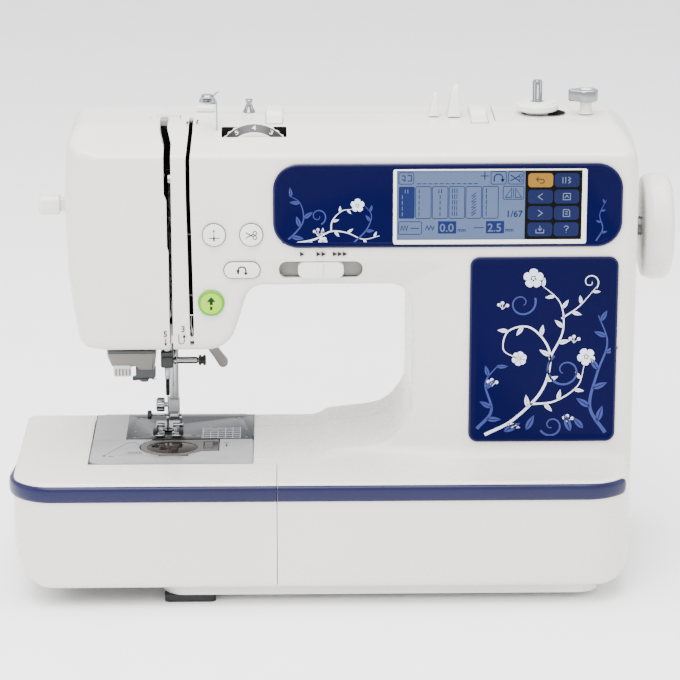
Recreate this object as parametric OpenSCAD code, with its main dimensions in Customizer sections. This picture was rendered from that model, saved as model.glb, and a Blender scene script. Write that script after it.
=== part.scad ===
/* [Overall] */
// Width from the left end of the table's stripe to the outer face of the handwheel
overall_w = 419; // [345:1:505]
// Depth from the front of the blue stripe to the folded carrying handle
overall_d = 192; // [182:1:232]
// Height of the sewing bed
bed_z = 82; // [80:0.5:100]
// Clear height between the bed and the arm
throat_h = 115.2; // [96:0.1:140]
// Height of the arm from its underside to its flat top
arm_h = 94.3; // [90:0.1:114]

/* [Housing] */
// Wall of the moulded covers
wall = 2.5; // [2:0.1:3.2]
// Width of the column
column_w = 147.4; // [145:0.1:177]
// How far the handwheel stands out from the column
wheel_proud = 19.5; // [16:0.5:24]
// Length of the table to the left of the head
table_reach = 34; // [25:0.5:45]
// Needle centre from the left side of the head
needle_inset = 61.5; // [58:0.5:70]
// Depth of the arm's front face behind the front of the base
face_inset = 46; // [40:0.5:55]
// Height of the lower edge of the base
skirt_z = 12; // [10:0.5:14]
// Height of the rubber feet
foot_h = 5; // [4:0.5:7]
// Free gap between pieces that move past each other
gap = 0.3; // [0.3:0.05:0.5]
// Radial clearance of a shaft in its bore
run_fit = 0.05; // [0.02:0.01:0.1]

/* [Front panels] */
// Width of the display panel
display_w = 215.8; // [180:0.1:216]
// Height of the display panel
display_h = 52.8; // [46:0.1:54]
// Width of the decorated panel
decor_w = 92.3; // [77:0.1:93]
// Corner radius of the display panel
display_r = 16; // [8:0.5:20]
// Diameter of the round keys
key_d = 14; // [11:0.5:17]
// Diameter of the start key
start_d = 16; // [13:0.5:19]
// Travel of the keys
key_travel = 1.2; // [0.8:0.1:1.5]
// Height of the blue stripe
stripe_h = 10; // [8:0.5:12]

/* [Sewing parts] */
// Diameter of the needle bar
needle_bar_d = 6.4; // [5.5:0.1:7.6]
// Diameter of the presser bar
presser_bar_d = 6; // [5:0.1:7]
// Stroke of the needle bar
stroke = 31; // [26:0.5:34]
// Lift of the presser foot
foot_lift = 6; // [5:0.5:8]
// Radius of the rotary hook
hook_r = 24.5; // [22:0.1:25]
// Diameter of the winder's spindle, which the bobbin slips onto
winder_d = 6.2; // [5.8:0.1:7.4]
// Radius of the bobbin
bobbin_r = 10.2; // [9:0.1:11.5]
// Height of the bobbin
bobbin_h = 9; // [8:0.1:10]

/* [Drive] */
// Diameter of the upper main shaft
main_shaft_d = 12; // [10:0.5:14]
// Diameter of the lower shaft
lower_shaft_d = 8; // [7:0.5:9]
// Radius of the handwheel
wheel_r = 34; // [28:0.5:40]
// Radius of the timing pulleys
pulley_r = 13; // [11:0.5:15]
// Radius of the tension dial
dial_r = 24; // [22:0.5:26]

/* [Hidden] */

$fn = 48;
eps = 0.01;
touch = 0.02;                 // gap left between faces of pieces fixed together

// Left-to-right places
bulge = 1.5;                  // how far the stripe stands out
x_l = -overall_w / 2 + bulge;
x_r = overall_w / 2;
col_r = x_r - wheel_proud;
col_l = col_r - column_w;
head_l = x_l + table_reach;
needle_x = head_l + needle_inset;
head_r = needle_x + 54;
plate_l = needle_x - 48.5;    // left edge of the free arm
plate_r = needle_x + 55.5;    // right edge of the free arm's cover plates
seam_x = plate_r + 15;        // seam between table and base at the front

// Front-to-back places
y_front = -overall_d / 2;
y_rear = overall_d / 2;
y_base = y_front + bulge;
y_face = y_front + face_inset;
y_back = y_rear - 22;
y_base_back = y_rear - 12;
y_bed_back = y_front + 145;
arm_front = y_front + 41;     // front edge of the free arm
needle_y = y_front + 101;
presser_y = needle_y + 12;
shaft_y = needle_y + 7;
seam_y = needle_y + 17;       // seam between front and rear covers

// Heights
under = bed_z + throat_h;
top = under + arm_h;
crease_lo = under + 16.5;
crease_hi = top - 13.5;
head_z = under - 44.2;
slope_y = y_face + 42;        // where the front slope meets the flat top
shaft_z = under + 20.5;
stripe_z = bed_z - 2 - stripe_h;
free_arm_z = bed_z - 32.5 - wall;  // underside of the free arm
plate_z = bed_z - 2.5;        // underside of the plates
hook_x = needle_x + 3.5;
hook_y = needle_y - 28;
lower_y = hook_y + 14.8;
lower_z = bed_z - 23.5;
rot_z = plate_z - 11.5;       // underside of the hook's basket

// Colours
white = "white";
navy = "midnightblue";
steel = "silver";
dark = "dimgray";

// ---- Outline helpers -------------------------------------------------------

function unit(v) = v / norm(v);

// Arc that replaces corner b of the path a-b-c; b = [x, y, radius]
function corner(a, b, c) =
    let (r = len(b) > 2 ? b[2] : 0, p = [b[0], b[1]])
    r <= 0 ? [p] :
    let (u = unit([a[0], a[1]] - p), v = unit([c[0], c[1]] - p),
         half = acos(max(-1, min(1, u * v))) / 2,
         reach = r / tan(half),
         centre = p + unit(u + v) * r / sin(half),
         s = p + u * reach - centre, e = p + v * reach - centre,
         a0 = atan2(s[1], s[0]), raw = atan2(e[1], e[0]) - a0,
         sweep = raw > 180 ? raw - 360 : raw < -180 ? raw + 360 : raw,
         n = max(2, ceil(abs(sweep) / 15)))
    [for (i = [0:n]) centre + r * [cos(a0 + sweep * i / n), sin(a0 + sweep * i / n)]];

// Closed outline with rounded corners
function rounded(pts) =
    let (n = len(pts))
    [for (i = [0:n - 1]) each corner(pts[(i + n - 1) % n], pts[i], pts[(i + 1) % n])];

// Outline in x-z pushed along y
module along_y(y0, y1) translate([0, y1, 0]) rotate([90, 0, 0])
    linear_extrude(y1 - y0) children();

// Outline in y-z pushed along x
module along_x(x0, x1) translate([x0, 0, 0]) rotate([90, 0, 90])
    linear_extrude(x1 - x0) children();

// Outline in x-y pushed along z
module along_z(z0, z1) translate([0, 0, z0]) linear_extrude(z1 - z0) children();

// Box given by two corners
module block(a, b) translate(a) cube(b - a);

// Round rod between two heights, widths or depths
module rod_x(x0, x1, y, z, r) translate([x0, y, z]) rotate([0, 90, 0]) cylinder(r = r, h = x1 - x0);
module rod_y(x, y0, y1, z, r) translate([x, y1, z]) rotate([90, 0, 0]) cylinder(r = r, h = y1 - y0);
module rod_z(x, y, z0, z1, r) translate([x, y, z0]) cylinder(r = r, h = z1 - z0);

// Rectangle with round corners, given by two corners
module pad(a, b, r) polygon(rounded([[a[0], a[1], r], [b[0], a[1], r], [b[0], b[1], r], [a[0], b[1], r]]));

// Outline moved inwards by an even amount
module inset(d) offset(delta = -d) children();

// ---- Outer form of the machine -------------------------------------------

base_xz = rounded([[x_l, bed_z, 2], [x_l, skirt_z, 28], [col_r, skirt_z, 28], [col_r, bed_z, 2]]);
base_yz = rounded([[y_base, bed_z, 2.5], [y_base, skirt_z, 3],
    [y_base_back, skirt_z, 3], [y_base_back, bed_z, 3]]);
base_xy = rounded([[x_l, y_base, 27], [col_r - 7, y_base, 28], [col_r, shaft_y, 80],
    [col_r, y_base_back, 22], [col_l - 6, y_base_back, 12], [col_l - 14, y_bed_back, 12],
    [x_l, y_bed_back, 8]]);
upper_xz = rounded([[col_l - 49, bed_z - 20], [col_l - 49, bed_z - 0.5], [col_l - 15, bed_z + 6, 30],
    [col_l, bed_z + 26, 24], [col_l, under, 14], [head_r, under, 12],
    [head_r - 12, head_z, 7], [head_l + 3, head_z, 9], [head_l, head_z + 18, 20],
    [head_l, top - 40, 40], [head_l + 25, top, 34], [col_r - 27, top, 10],
    [col_r - 6, top - 23, 26], [col_r, top - 46, 30], [col_r, bed_z - 20]]);
upper_yz = rounded([[y_face, bed_z - 30], [y_face, crease_hi, 3], [slope_y, top, 40],
    [y_back, top, 18], [y_back, bed_z - 30]]);
upper_xy = rounded([[head_l, y_face, 34], [col_r - 2, y_face, 13], [col_r, shaft_y, 60],
    [col_r, y_back, 24], [head_l, y_back, 30]]);

// Base and table together, moved inwards by d; the inner form runs out below
module base_form(d = 0) intersection() {
    along_y(y_front - 1, y_rear) inset(d) polygon(base_xz);
    along_x(x_l - 1, x_r) inset(d) polygon(base_yz);
    along_z(0, bed_z + 1) inset(d) polygon(base_xy);
}

// Column, arm and head together, moved inwards by d
module upper_form(d = 0) difference() {
    intersection() {
        along_y(y_front, y_rear) inset(d) polygon(upper_xz);
        along_x(x_l, x_r) inset(d) polygon(upper_yz);
        along_z(0, top + 1) inset(d) polygon(upper_xy);
    }
    block([col_l - 60, y_bed_back - d, 0], [col_l + d, y_rear, under - 30]);
}

// Space in front of the bevelled band around the throat, moved inwards by d
band_l = head_r + 8;          // left end of the bevelled band
band_r = col_l + 32;          // right crease of the bevelled band
band_mid = (20 * band_r + 32 * band_l) / 52;
module throat_bevel(d = 0) translate([0, d, 0]) intersection() {
    along_x(band_l, band_r) polygon([[y_face, crease_lo], [y_face + 7, under],
        [y_face + 7 + (throat_h + 30) * 7 / 16.5, bed_z - 30], [y_face - 20, bed_z - 30],
        [y_face - 20, crease_lo]]);
    along_z(bed_z - 30, crease_lo) polygon([[band_r, y_face], [band_mid, y_face + (band_r - band_mid) * 7 / 32],
        [band_l, y_face], [band_l, y_face - 20], [band_r, y_face - 20]]);
}

// Wall of the whole upper and base housing
module housing() difference() {
    union() {
        base_form();
        difference() { upper_form(); throat_bevel(); }
    }
    difference() { upper_form(wall); throat_bevel(wall); }
    base_form(wall);
    translate([0, 0, -1]) along_z(0, skirt_z + wall + 2) intersection() {
        inset(wall) polygon(base_xy);
        translate([x_l + 28, y_base + wall]) square([col_r - x_l - 56, y_base_back - y_base - 2 * wall]);
    }
}

// Region of the covers to the right of the table seam, in plan
module base_region(d = 0) polygon([[seam_x + d, y_front - 5], [x_r, y_front - 5], [x_r, y_rear + 5],
    [plate_r + d, y_rear + 5], [plate_r + d, arm_front + d], [seam_x + d, arm_front + d]]);

// ---- Places on the front face ------------------------------------------------

display_x1 = col_r - 17.9;
display_x0 = display_x1 - display_w;
display_z0 = under + 23.3;
display_z1 = display_z0 + display_h;
lcd_x1 = display_x1 - 22.2;
lcd_x0 = lcd_x1 - 119.6;
lcd_z0 = display_z0 + 2;
lcd_z1 = display_z1 - 3.1;
decor_x1 = col_r - 19.3;
decor_x0 = decor_x1 - decor_w;
decor_z0 = bed_z + 11.6;
decor_z1 = crease_lo + 0.2;
flange = 2;                   // rim that holds an inlaid panel from behind
key_skin = y_face + wall;     // inner face of the front wall
needle_key_at = [needle_x + 32.3, under + 31.7];
cutter_key_at = [needle_x + 55.3, under + 31.7];
reverse_key_at = [needle_x + 49.4, under + 9.2];
start_key_at = [needle_x + 30.1, under - 11.9];
slider_x = needle_x + 98.3;   // middle of the speed slider at rest
slider_z = under + 9.1;
slider_travel = 11.4;
slider_knob = [28.5, 10.5];
dial_x = needle_x + 57.3;
dial_y = y_face + 22;         // front face of the tension dial
dial_w = 11;
dial_z = crease_hi + 15 - dial_r;

module panel_skin(a, b, r, proud) {
    along_y(y_face - proud, key_skin - touch) inset(touch) pad(a, b, r);
    along_y(key_skin + touch, key_skin + flange) inset(-flange) pad(a, b, r);
    along_y(key_skin - touch - eps, key_skin + touch + eps) inset(touch) pad(a, b, r);
}

// Oblong outline, w wide and h high
module oblong(w, h) hull() for (s = [-1, 1]) translate([s * (w - h) / 2, 0]) circle(d = h);

reverse_size = [22, 10];      // width and height of the reverse key

module face_openings() {
    along_y(y_face - 5, y_face + 8) {
        pad([display_x0, display_z0], [display_x1, display_z1], display_r);
        pad([decor_x0, decor_z0], [decor_x1, decor_z1], 6);
        for (at = [needle_key_at, cutter_key_at]) translate(at) circle(d = key_d + 2 * gap);
        translate(start_key_at) circle(d = start_d + 2 * gap);
        translate(reverse_key_at) offset(delta = gap) oblong(reverse_size[0], reverse_size[1]);
    }
    along_y(y_face - 5, y_face + 13) translate([slider_x, slider_z])
        square([slider_knob[0] + 2 * slider_travel + 1, slider_knob[1] + 2 * gap], center = true);
}

// Outline of the take-up lever's slot, from the top slope to the head's underside
slot1 = [[needle_x - 3.5, top + 2], [needle_x - 3.5, under + 57], [needle_x + 2, under + 52],
    [needle_x + 4.3, head_z - 3], [needle_x + 6.3, head_z - 3], [needle_x + 4, under + 53],
    [needle_x + 2.5, under + 57], [needle_x + 2.5, top + 2]];
slot2_x = needle_x + 17.7;
slot2_w = 2.5;
slot2_z = head_z + 7;

module thread_slots() along_y(y_face - 5, slope_y - 4) {
    polygon(slot1);
    translate([slot2_x - slot2_w / 2, slot2_z]) square([slot2_w, top + 2 - slot2_z]);
}

// Seam between the face cover and the rest, left of the strip between the slots
module face_region(d = 0) polygon([[x_l, 0], [needle_x + 5.3 - d, 0], [needle_x + 5.3 - d, head_z],
    [needle_x + 3 - d, under + 52], [needle_x - 0.5 - d, under + 55], [needle_x - 0.5 - d, top + 5],
    [x_l, top + 5]]);

// ---- Places on the top --------------------------------------------------------

handle_x = [needle_x + 69.9, col_r - 103.9];  // middles of the handle's two straps
strap_w = 10.5;
handle_y = slope_y + 4;       // pivot of the carrying handle
handle_z = top - 4;
strap_t = 5.6;
winder_x0 = col_r - 94;
winder_x1 = col_r - 44;
winder_y0 = slope_y + 2;
winder_y1 = y_back - 20;
winder_at = [col_r - 66.2, shaft_y + 5];
stop_at = [col_r - 35.6, shaft_y + 1.6];
spool_x = col_r - 130;        // pivot of the spool pin
spool_y = y_back - 28;
spool_z = top - 6;
spool_len = 66;

module top_openings() {
    for (x = handle_x) {
        block([x - strap_w / 2 - gap, handle_y - 7, handle_z - 7], [x + strap_w / 2 + gap, handle_y + 7, top + 5]);
        block([x - strap_w / 2 - gap, handle_y, handle_z - strap_t / 2 - gap],
            [x + strap_w / 2 + gap, y_rear, top + 5]);
        rod_x(x - strap_w / 2 - 2.5, x + strap_w / 2 + 2.5, handle_y, handle_z, 1.6 + run_fit);
    }
    rod_y(spool_x, spool_y - 8.5, spool_y + 8.5, spool_z, 1.6 + run_fit);
    block([winder_x0, winder_y0, top - wall - 3], [winder_x1, winder_y1, top + 5]);
    block([spool_x - spool_len - 6, spool_y - 6, spool_z - 5], [spool_x + 6, spool_y + 6, top + 5]);
    translate([dial_x - 20, dial_y - 1.5, dial_z]) cube([40, dial_w + 3, dial_r + 20]);
}

// Sunk linings that close the grooves in the top from below
module top_linings() intersection() {
    upper_form();
    union() {
        for (x = handle_x) {
            block([x - strap_w / 2 - 2, handle_y - 9, handle_z - 9], [x + strap_w / 2 + 2, handle_y + 9, top]);
            block([x - strap_w / 2 - 2, handle_y, handle_z - strap_t / 2 - 2],
                [x + strap_w / 2 + 2, y_rear, top]);
        }
        block([spool_x - spool_len - 8, spool_y - 8, spool_z - 7], [spool_x + 8, spool_y + 8, top]);
    }
}

// ---- Places on the sides, under the head and at the back ------------------------

head_hole = [[needle_x - 39, y_face + 18], [needle_x + 33, y_back - 28]];
threader_slot_z = [shaft_z - 16, shaft_z + 27];
threader_z = shaft_z + 19;    // middle of the threader lever
threader_y = needle_y - 5;
switch_y = shaft_y + 12;
inlet_y = shaft_y + 36;
socket_z = skirt_z + 41;

module side_openings() {
    block([head_hole[0][0], head_hole[0][1], head_z - 1], [head_hole[1][0], head_hole[1][1], head_z + wall + 1]);
    block([head_l - 1, threader_y - 3, threader_slot_z[0]], [head_l + wall + 3, threader_y + 3, threader_slot_z[1]]);
    rod_x(col_r - 8, col_r + 2, shaft_y, shaft_z, main_shaft_d / 2 + 1);
    block([col_r - 8, switch_y - 10, socket_z - 12], [col_r + 2, switch_y + 10, socket_z + 12]);
    block([col_r - 8, inlet_y - 13, socket_z - 12], [col_r + 2, inlet_y + 13, socket_z + 12]);
}

// Closing wall of the base towards the table and the free arm
module base_end_wall() difference() {
    intersection() {
        base_form();
        along_z(skirt_z, bed_z) difference() { base_region(); base_region(wall); }
    }
    block([plate_r - 1, arm_front + 2 * wall, free_arm_z + wall],
        [plate_r + wall + 1, y_bed_back - 2 * wall, bed_z - 2 * wall]);
}

module covers() difference() {
    union() {
        intersection() {
            housing();
            union() {
                along_z(0, bed_z + eps) base_region();
                along_z(bed_z, top + 5) translate([x_l, y_front]) square([overall_w, overall_d]);
            }
        }
        base_end_wall();
        top_linings();
    }
    top_openings();
    side_openings();
}

// ---- Covers ------------------------------------------------------------------------

module front_cover() color(white) difference() {
    intersection() {
        covers();
        block([x_l, y_front - 5, 0], [x_r, seam_y - touch, top + 5]);
    }
    face_openings();
    thread_slots();
    along_y(y_front - 5, y_rear + 5) face_region();
}

module rear_cover() color(white) difference() {
    intersection() {
        covers();
        block([x_l, seam_y, 0], [x_r, y_rear + 5, top + 5]);
    }
    along_y(y_front - 5, y_rear + 5) face_region();
    for (i = [0:5]) block([col_l + 60 + i * 9, y_base_back - wall - 8, bed_z - 40],
        [col_l + 64 + i * 9, y_base_back + 1, bed_z - 16]);
}

module face_cover() color(white) difference() {
    intersection() {
        covers();
        along_y(y_front - 5, y_rear + 5) face_region(touch);
        along_z(head_z - 1, top + 5) translate([x_l, y_front]) square([overall_w, overall_d]);
    }
    thread_slots();
}

// Recess under the bobbin winder, r wider than the spindle's path
module winder_recess(r) hull() for (at = [winder_at, winder_at + [8, -1]]) translate(at) circle(r = r);

module winder_cover() color(white) difference() {
    union() {
        block([winder_x0 + touch, winder_y0 + touch, top - wall],
            [winder_x1 - touch, winder_y1 - touch, top - touch]);
        along_z(top - 16, top - wall + eps) winder_recess(12);
    }
    along_z(top - 13, top + 1) winder_recess(10);
    rod_z(winder_at[0], winder_at[1], top - 17, top - 12, winder_d / 2 + run_fit);
}

module stripe(x0, x1) color(navy) intersection() {
    along_z(stripe_z, stripe_z + stripe_h) difference() {
        offset(delta = bulge) polygon(base_xy);
        offset(delta = touch) polygon(base_xy);
    }
    block([x0, y_front - 1, stripe_z], [x1, y_face, stripe_z + stripe_h]);
}

module base_stripe() stripe(seam_x + gap / 2, x_r);

module table_stripe() intersection() {
    stripe(x_l - 5, seam_x - gap);
    block([x_l - 5, y_front - 5, 0], [x_r, y_face + 15, top]);
}

plate_x0 = x_l + 94;          // left end of the base plate under the free arm
plate_x1 = col_r - 30;
base_plate_top = skirt_z - 0.4;
screw_at = [[plate_x0 + 12, y_bed_back - 40], [col_l - 60, y_base + 22], [plate_x1 - 14, y_base + 22],
    [plate_x1 - 14, y_bed_back - 4], [col_l + 20, y_bed_back - 4]];

module base_plate() color(white) difference() {
    union() {
        along_z(foot_h, base_plate_top) intersection() {
            pad([plate_x0, y_base + 10], [plate_x1, y_bed_back + 26], 14);
            inset(8) polygon(base_xy);
        }
        along_z(base_plate_top - eps, skirt_z + 3) for (x = [col_l + 20, plate_x1 - 30])
            translate([x - 8, y_base + 20]) square([16, 10]);
    }
    for (at = screw_at) {
        rod_z(at[0], at[1], foot_h - 1, skirt_z + 5, 1.8);
        rod_z(at[0], at[1], foot_h - 1, foot_h + 2.2, 3.4);
    }
}

module rubber_feet() color(dark) {
    along_z(0, foot_h - touch) pad([plate_x0 + 1, y_base + 10.5], [plate_x0 + 33, y_base + 22], 3);
    for (at = [[plate_x0 + 16, y_bed_back - 20], [plate_x1 - 24, y_base + 50], [plate_x1 - 24, y_bed_back + 10]])
        rod_z(at[0], at[1], 0, foot_h - touch, 9);
}

module cover_screws() color(steel) for (at = screw_at) difference() {
    union() {
        rod_z(at[0], at[1], foot_h + 0.4, base_plate_top - 0.4, 1.75);
        rod_z(at[0], at[1], foot_h + 0.3, foot_h + 2.15, 3.3);
    }
    for (turn = [0, 90]) translate([at[0], at[1], foot_h]) rotate([0, 0, turn])
        translate([-2, -0.4, -1]) cube([4, 0.8, 2.2]);
}

// ---- Table, free arm and plates ------------------------------------------------------

// Plan of the table, around the free arm
module table_region(d = 0) polygon([[x_l - 5, y_front - 5], [seam_x - gap - d, y_front - 5],
    [seam_x - gap - d, arm_front - gap - d], [plate_l - gap - d, arm_front - gap - d],
    [plate_l - gap - d, y_rear], [x_l - 5, y_rear]]);

tray_z = skirt_z + 2;
tray_h = free_arm_z - 3 - tray_z;

module extension_table() color(white) difference() {
    intersection() { base_form(); along_z(0, bed_z + 1) table_region(); }
    intersection() { base_form(wall); along_z(0, bed_z + 1) table_region(wall); }
    along_z(0, skirt_z + wall + 2) intersection() {
        table_region(wall);
        inset(wall) polygon(base_xy);
        translate([x_l + 28, y_base + wall]) square([col_r, y_base_back - y_base]);
    }
}

module accessory_tray() color("gainsboro") difference() {
    block([plate_l - gap + touch, arm_front - gap + touch, tray_z], [plate_r - 3, y_bed_back - 2, tray_z + tray_h]);
    block([plate_l + 2, arm_front + 2, tray_z + 2], [plate_r - 5, y_bed_back - 4, tray_z + tray_h + 1]);
}

metal_x0 = plate_l + 21.5;
metal_y0 = needle_y - 12;
cover_x0 = hook_x - 20.5;     // see-through bobbin cover
cover_x1 = hook_x + 19.5;
cover_y0 = needle_y - 45;
cover_t = 1.8;
latch_x0 = cover_x1 + 1;
latch_travel = 3;
latch_y = hook_y + 4;

module free_arm() color(white) difference() {
    along_z(free_arm_z, bed_z) pad([plate_l, arm_front], [plate_r - touch, y_bed_back - 2], 9);
    along_z(free_arm_z + wall, bed_z - wall - touch) intersection() {
        inset(wall) pad([plate_l, arm_front], [plate_r + 30, y_bed_back - 2], 9);
        translate([plate_l, arm_front]) square([plate_r - plate_l + 1, overall_d]);
    }
    block([metal_x0 - touch, metal_y0 - touch, plate_z - 1], [plate_r + 1, y_bed_back - 4, bed_z + 1]);
    block([plate_l - 1, arm_front - 1, plate_z - touch], [plate_r + 1, metal_y0, bed_z + 1]);
    block([plate_l + 12, arm_front + wall + 4, plate_z - 2], [plate_r + 1, metal_y0 + 1, bed_z + 1]);
}

// Needle hole and feed dog slots
rail_x = [needle_x - 5, needle_x + 5];
rail_w = 3.4;
rail_y = [needle_y - 1, needle_y + 19];

module needle_plate() color(steel) difference() {
    block([metal_x0, metal_y0, plate_z], [plate_r - touch, y_bed_back - 4 - touch, bed_z]);
    along_z(plate_z - 1, bed_z + 1) {
        translate([needle_x, needle_y]) square([7, 2], center = true);
        for (x = rail_x) translate([x - rail_w / 2 - 0.5, rail_y[0] - 0.5])
            square([rail_w + 1, rail_y[1] - rail_y[0] + 1]);
    }
    for (i = [0:4]) block([needle_x + 12 + i * 8, metal_y0 + 4, bed_z - 0.2],
        [needle_x + 12.4 + i * 8, metal_y0 + 34, bed_z + 1]);
    for (x = [metal_x0 + 8, plate_r - 10]) rod_z(x, y_bed_back - 10, bed_z - 1, bed_z + 1, 2.2);
}

module plate_cover() color("gainsboro") difference() {
    intersection() {
        block([plate_l, arm_front, plate_z], [plate_r - touch, metal_y0 - touch, bed_z]);
        along_z(0, bed_z + 1) pad([plate_l, arm_front], [plate_r + 10, y_bed_back], 9);
    }
    block([cover_x0 - gap, cover_y0 - gap, bed_z - cover_t - gap], [cover_x1 + gap, metal_y0 + 1, bed_z + 1]);
    along_z(plate_z - 1, bed_z + 1) translate([cover_x0 + 1.5, cover_y0 + 1.5])
        square([cover_x1 - cover_x0 - 3, metal_y0 - cover_y0]);
    block([latch_x0 - gap, latch_y - 7 - gap, bed_z - 1.6 - gap],
        [latch_x0 + 5 + latch_travel + gap, latch_y + 7 + gap, bed_z + 1]);
    rod_x(cover_x0 - lid_pin_reach - gap, cover_x1 + lid_pin_reach + gap, lid_pivot[0], lid_pivot[1], lid_pin_r + run_fit);
}

// Hinge of the bobbin cover along its rounded front edge
lid_pivot = [cover_y0 + cover_t / 2, bed_z - cover_t / 2];
lid_pin_r = 0.65;
lid_pin_reach = 1;            // how far the hinge pins stand out of the cover's sides

module bobbin_cover() color("gray", 0.5) {
    block([cover_x0, lid_pivot[0], bed_z - cover_t], [cover_x1, metal_y0 - touch - gap, bed_z]);
    rod_x(cover_x0, cover_x1, lid_pivot[0], lid_pivot[1], cover_t / 2);
    rod_x(cover_x0 - lid_pin_reach, cover_x1 + lid_pin_reach, lid_pivot[0], lid_pivot[1], lid_pin_r);
}

module cover_latch() color(dark) {
    block([latch_x0, latch_y - 7, bed_z - 1.6], [latch_x0 + 5, latch_y + 7, bed_z - 0.2]);
    for (i = [0:3]) block([latch_x0 + 0.6 + i * 1.1, latch_y - 5, bed_z - 0.3],
        [latch_x0 + 1.1 + i * 1.1, latch_y + 5, bed_z + 0.1]);
}

// ---- Panels and controls on the front face ---------------------------------------------

module display_bezel() color(navy) difference() {
    panel_skin([display_x0, display_z0], [display_x1, display_z1], display_r, 1);
    along_y(y_face - 3, y_face + 8) pad([lcd_x0, lcd_z0], [lcd_x1, lcd_z1], 1.5);
}

module lcd_frame() color(white) difference() {
    union() {
        along_y(y_face - 1.2, key_skin + flange + touch) inset(touch) pad([lcd_x0, lcd_z0], [lcd_x1, lcd_z1], 1.5);
        along_y(key_skin + flange + touch, key_skin + flange + 1.5)
            pad([lcd_x0 - 3, lcd_z0 - 1], [lcd_x1 + 3, lcd_z1 + 1], 1.5);
    }
    along_y(y_face - 3, key_skin + flange) translate([lcd_x0 + 2.2, lcd_z0 + 2.8])
        square([lcd_x1 - lcd_x0 - 5.3, lcd_z1 - lcd_z0 - 3.6]);
}

module touch_panel() color("lightsteelblue") block([lcd_x0 + 2.2 + touch, y_face - 0.6, lcd_z0 + 2.8 + touch],
    [lcd_x1 - 3.1 - touch, key_skin + flange - touch, lcd_z1 - 0.8 - touch]);

module decor_panel() color(navy) panel_skin([decor_x0, decor_z0], [decor_x1, decor_z1], 6, 0.8);

module circuit_board() color("darkgreen") {
    board_y = key_skin + flange + 1.5;
    block([lcd_x0 - 20, board_y + 4, lcd_z0 - 2], [lcd_x1 + 8, board_y + 5.6, lcd_z1 + 2]);
    for (x = [lcd_x0 + 4, lcd_x1 - 4], z = [lcd_z0 + 5, lcd_z1 - 5])
        rod_y(x, board_y + touch, board_y + 4 + eps, z, 2);
    for (i = [0:4]) block([lcd_x0 + 4 + i * 22, board_y + 5.5, lcd_z0 + 12],
        [lcd_x0 + 16 + i * 22, board_y + 8, lcd_z0 + 24 + i % 2 * 8]);
}

module round_key(at, d) translate([at[0], 0, at[1]]) {
    rod_y(0, y_face - key_travel - 0.2, key_skin + gap + eps, 0, d / 2);
    rod_y(0, key_skin + gap, key_skin + gap + 1.5, 0, d / 2 + 1.5);
}

module needle_key() color(white) round_key(needle_key_at, key_d);
module cutter_key() color(white) round_key(cutter_key_at, key_d);
module start_key() color("yellowgreen") round_key(start_key_at, start_d);

module reverse_key() color(white) translate([reverse_key_at[0], 0, reverse_key_at[1]]) {
    along_y(y_face - key_travel - 0.2, key_skin + gap + eps) oblong(reverse_size[0], reverse_size[1]);
    along_y(key_skin + gap, key_skin + gap + 1.5) oblong(reverse_size[0] + 3, reverse_size[1] + 3);
}

module speed_slider() color(white) translate([slider_x, 0, slider_z]) {
    along_y(y_face + 1, y_face + 10) square(slider_knob, center = true);
    for (i = [-1:1]) block([i * 2 - 0.5, y_face + 0.2, -4.5], [i * 2 + 0.5, y_face + 1 + eps, 4.5]);
    block([-slider_knob[0] / 2 - 2 * slider_travel - 2, y_face + 10 - eps, -slider_knob[1] / 2 - 0.4],
        [slider_knob[0] / 2 + 2 * slider_travel + 2, y_face + 11.5, slider_knob[1] / 2 + 2.5]);
}

module tension_dial() color(white) {
    difference() {
        rod_y(dial_x, dial_y, dial_y + dial_w, dial_z, dial_r);
        for (i = [0:35]) translate([dial_x, dial_y + dial_w - 4, dial_z]) rotate([0, i * 10, 0])
            translate([dial_r - 0.6, 0, -0.6]) cube([2, 5, 1.2]);
    }
    rod_y(dial_x, dial_y + dial_w - eps, dial_y + dial_w + 12, dial_z, 3);
}

// ---- Frame that carries the mechanism ---------------------------------------------------

beam_z = shaft_z + 30.5;
frame_y = shaft_y + 10;       // front face of the head plate
lug_x = [needle_x + 22, col_l + 2, col_r - 24];
low_lug_x = [needle_x + 17, plate_r + 8, col_l + 4];
collar_z = [head_z + 6 + stroke, under + 6.5];
bar_lug_z = [head_z - 6, head_z + 5];
crank_r = stroke / 2;
lever_pivot = [needle_y - 11, under + 31];
presser_x = needle_x + 3.8;
lift_pivot = [needle_x + 17.5, head_z - 5];
threader_rod_x = needle_x - 27.5;
floor_z = free_arm_z + wall + touch;
post_x = [metal_x0 + 5, plate_r - 6];

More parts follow.
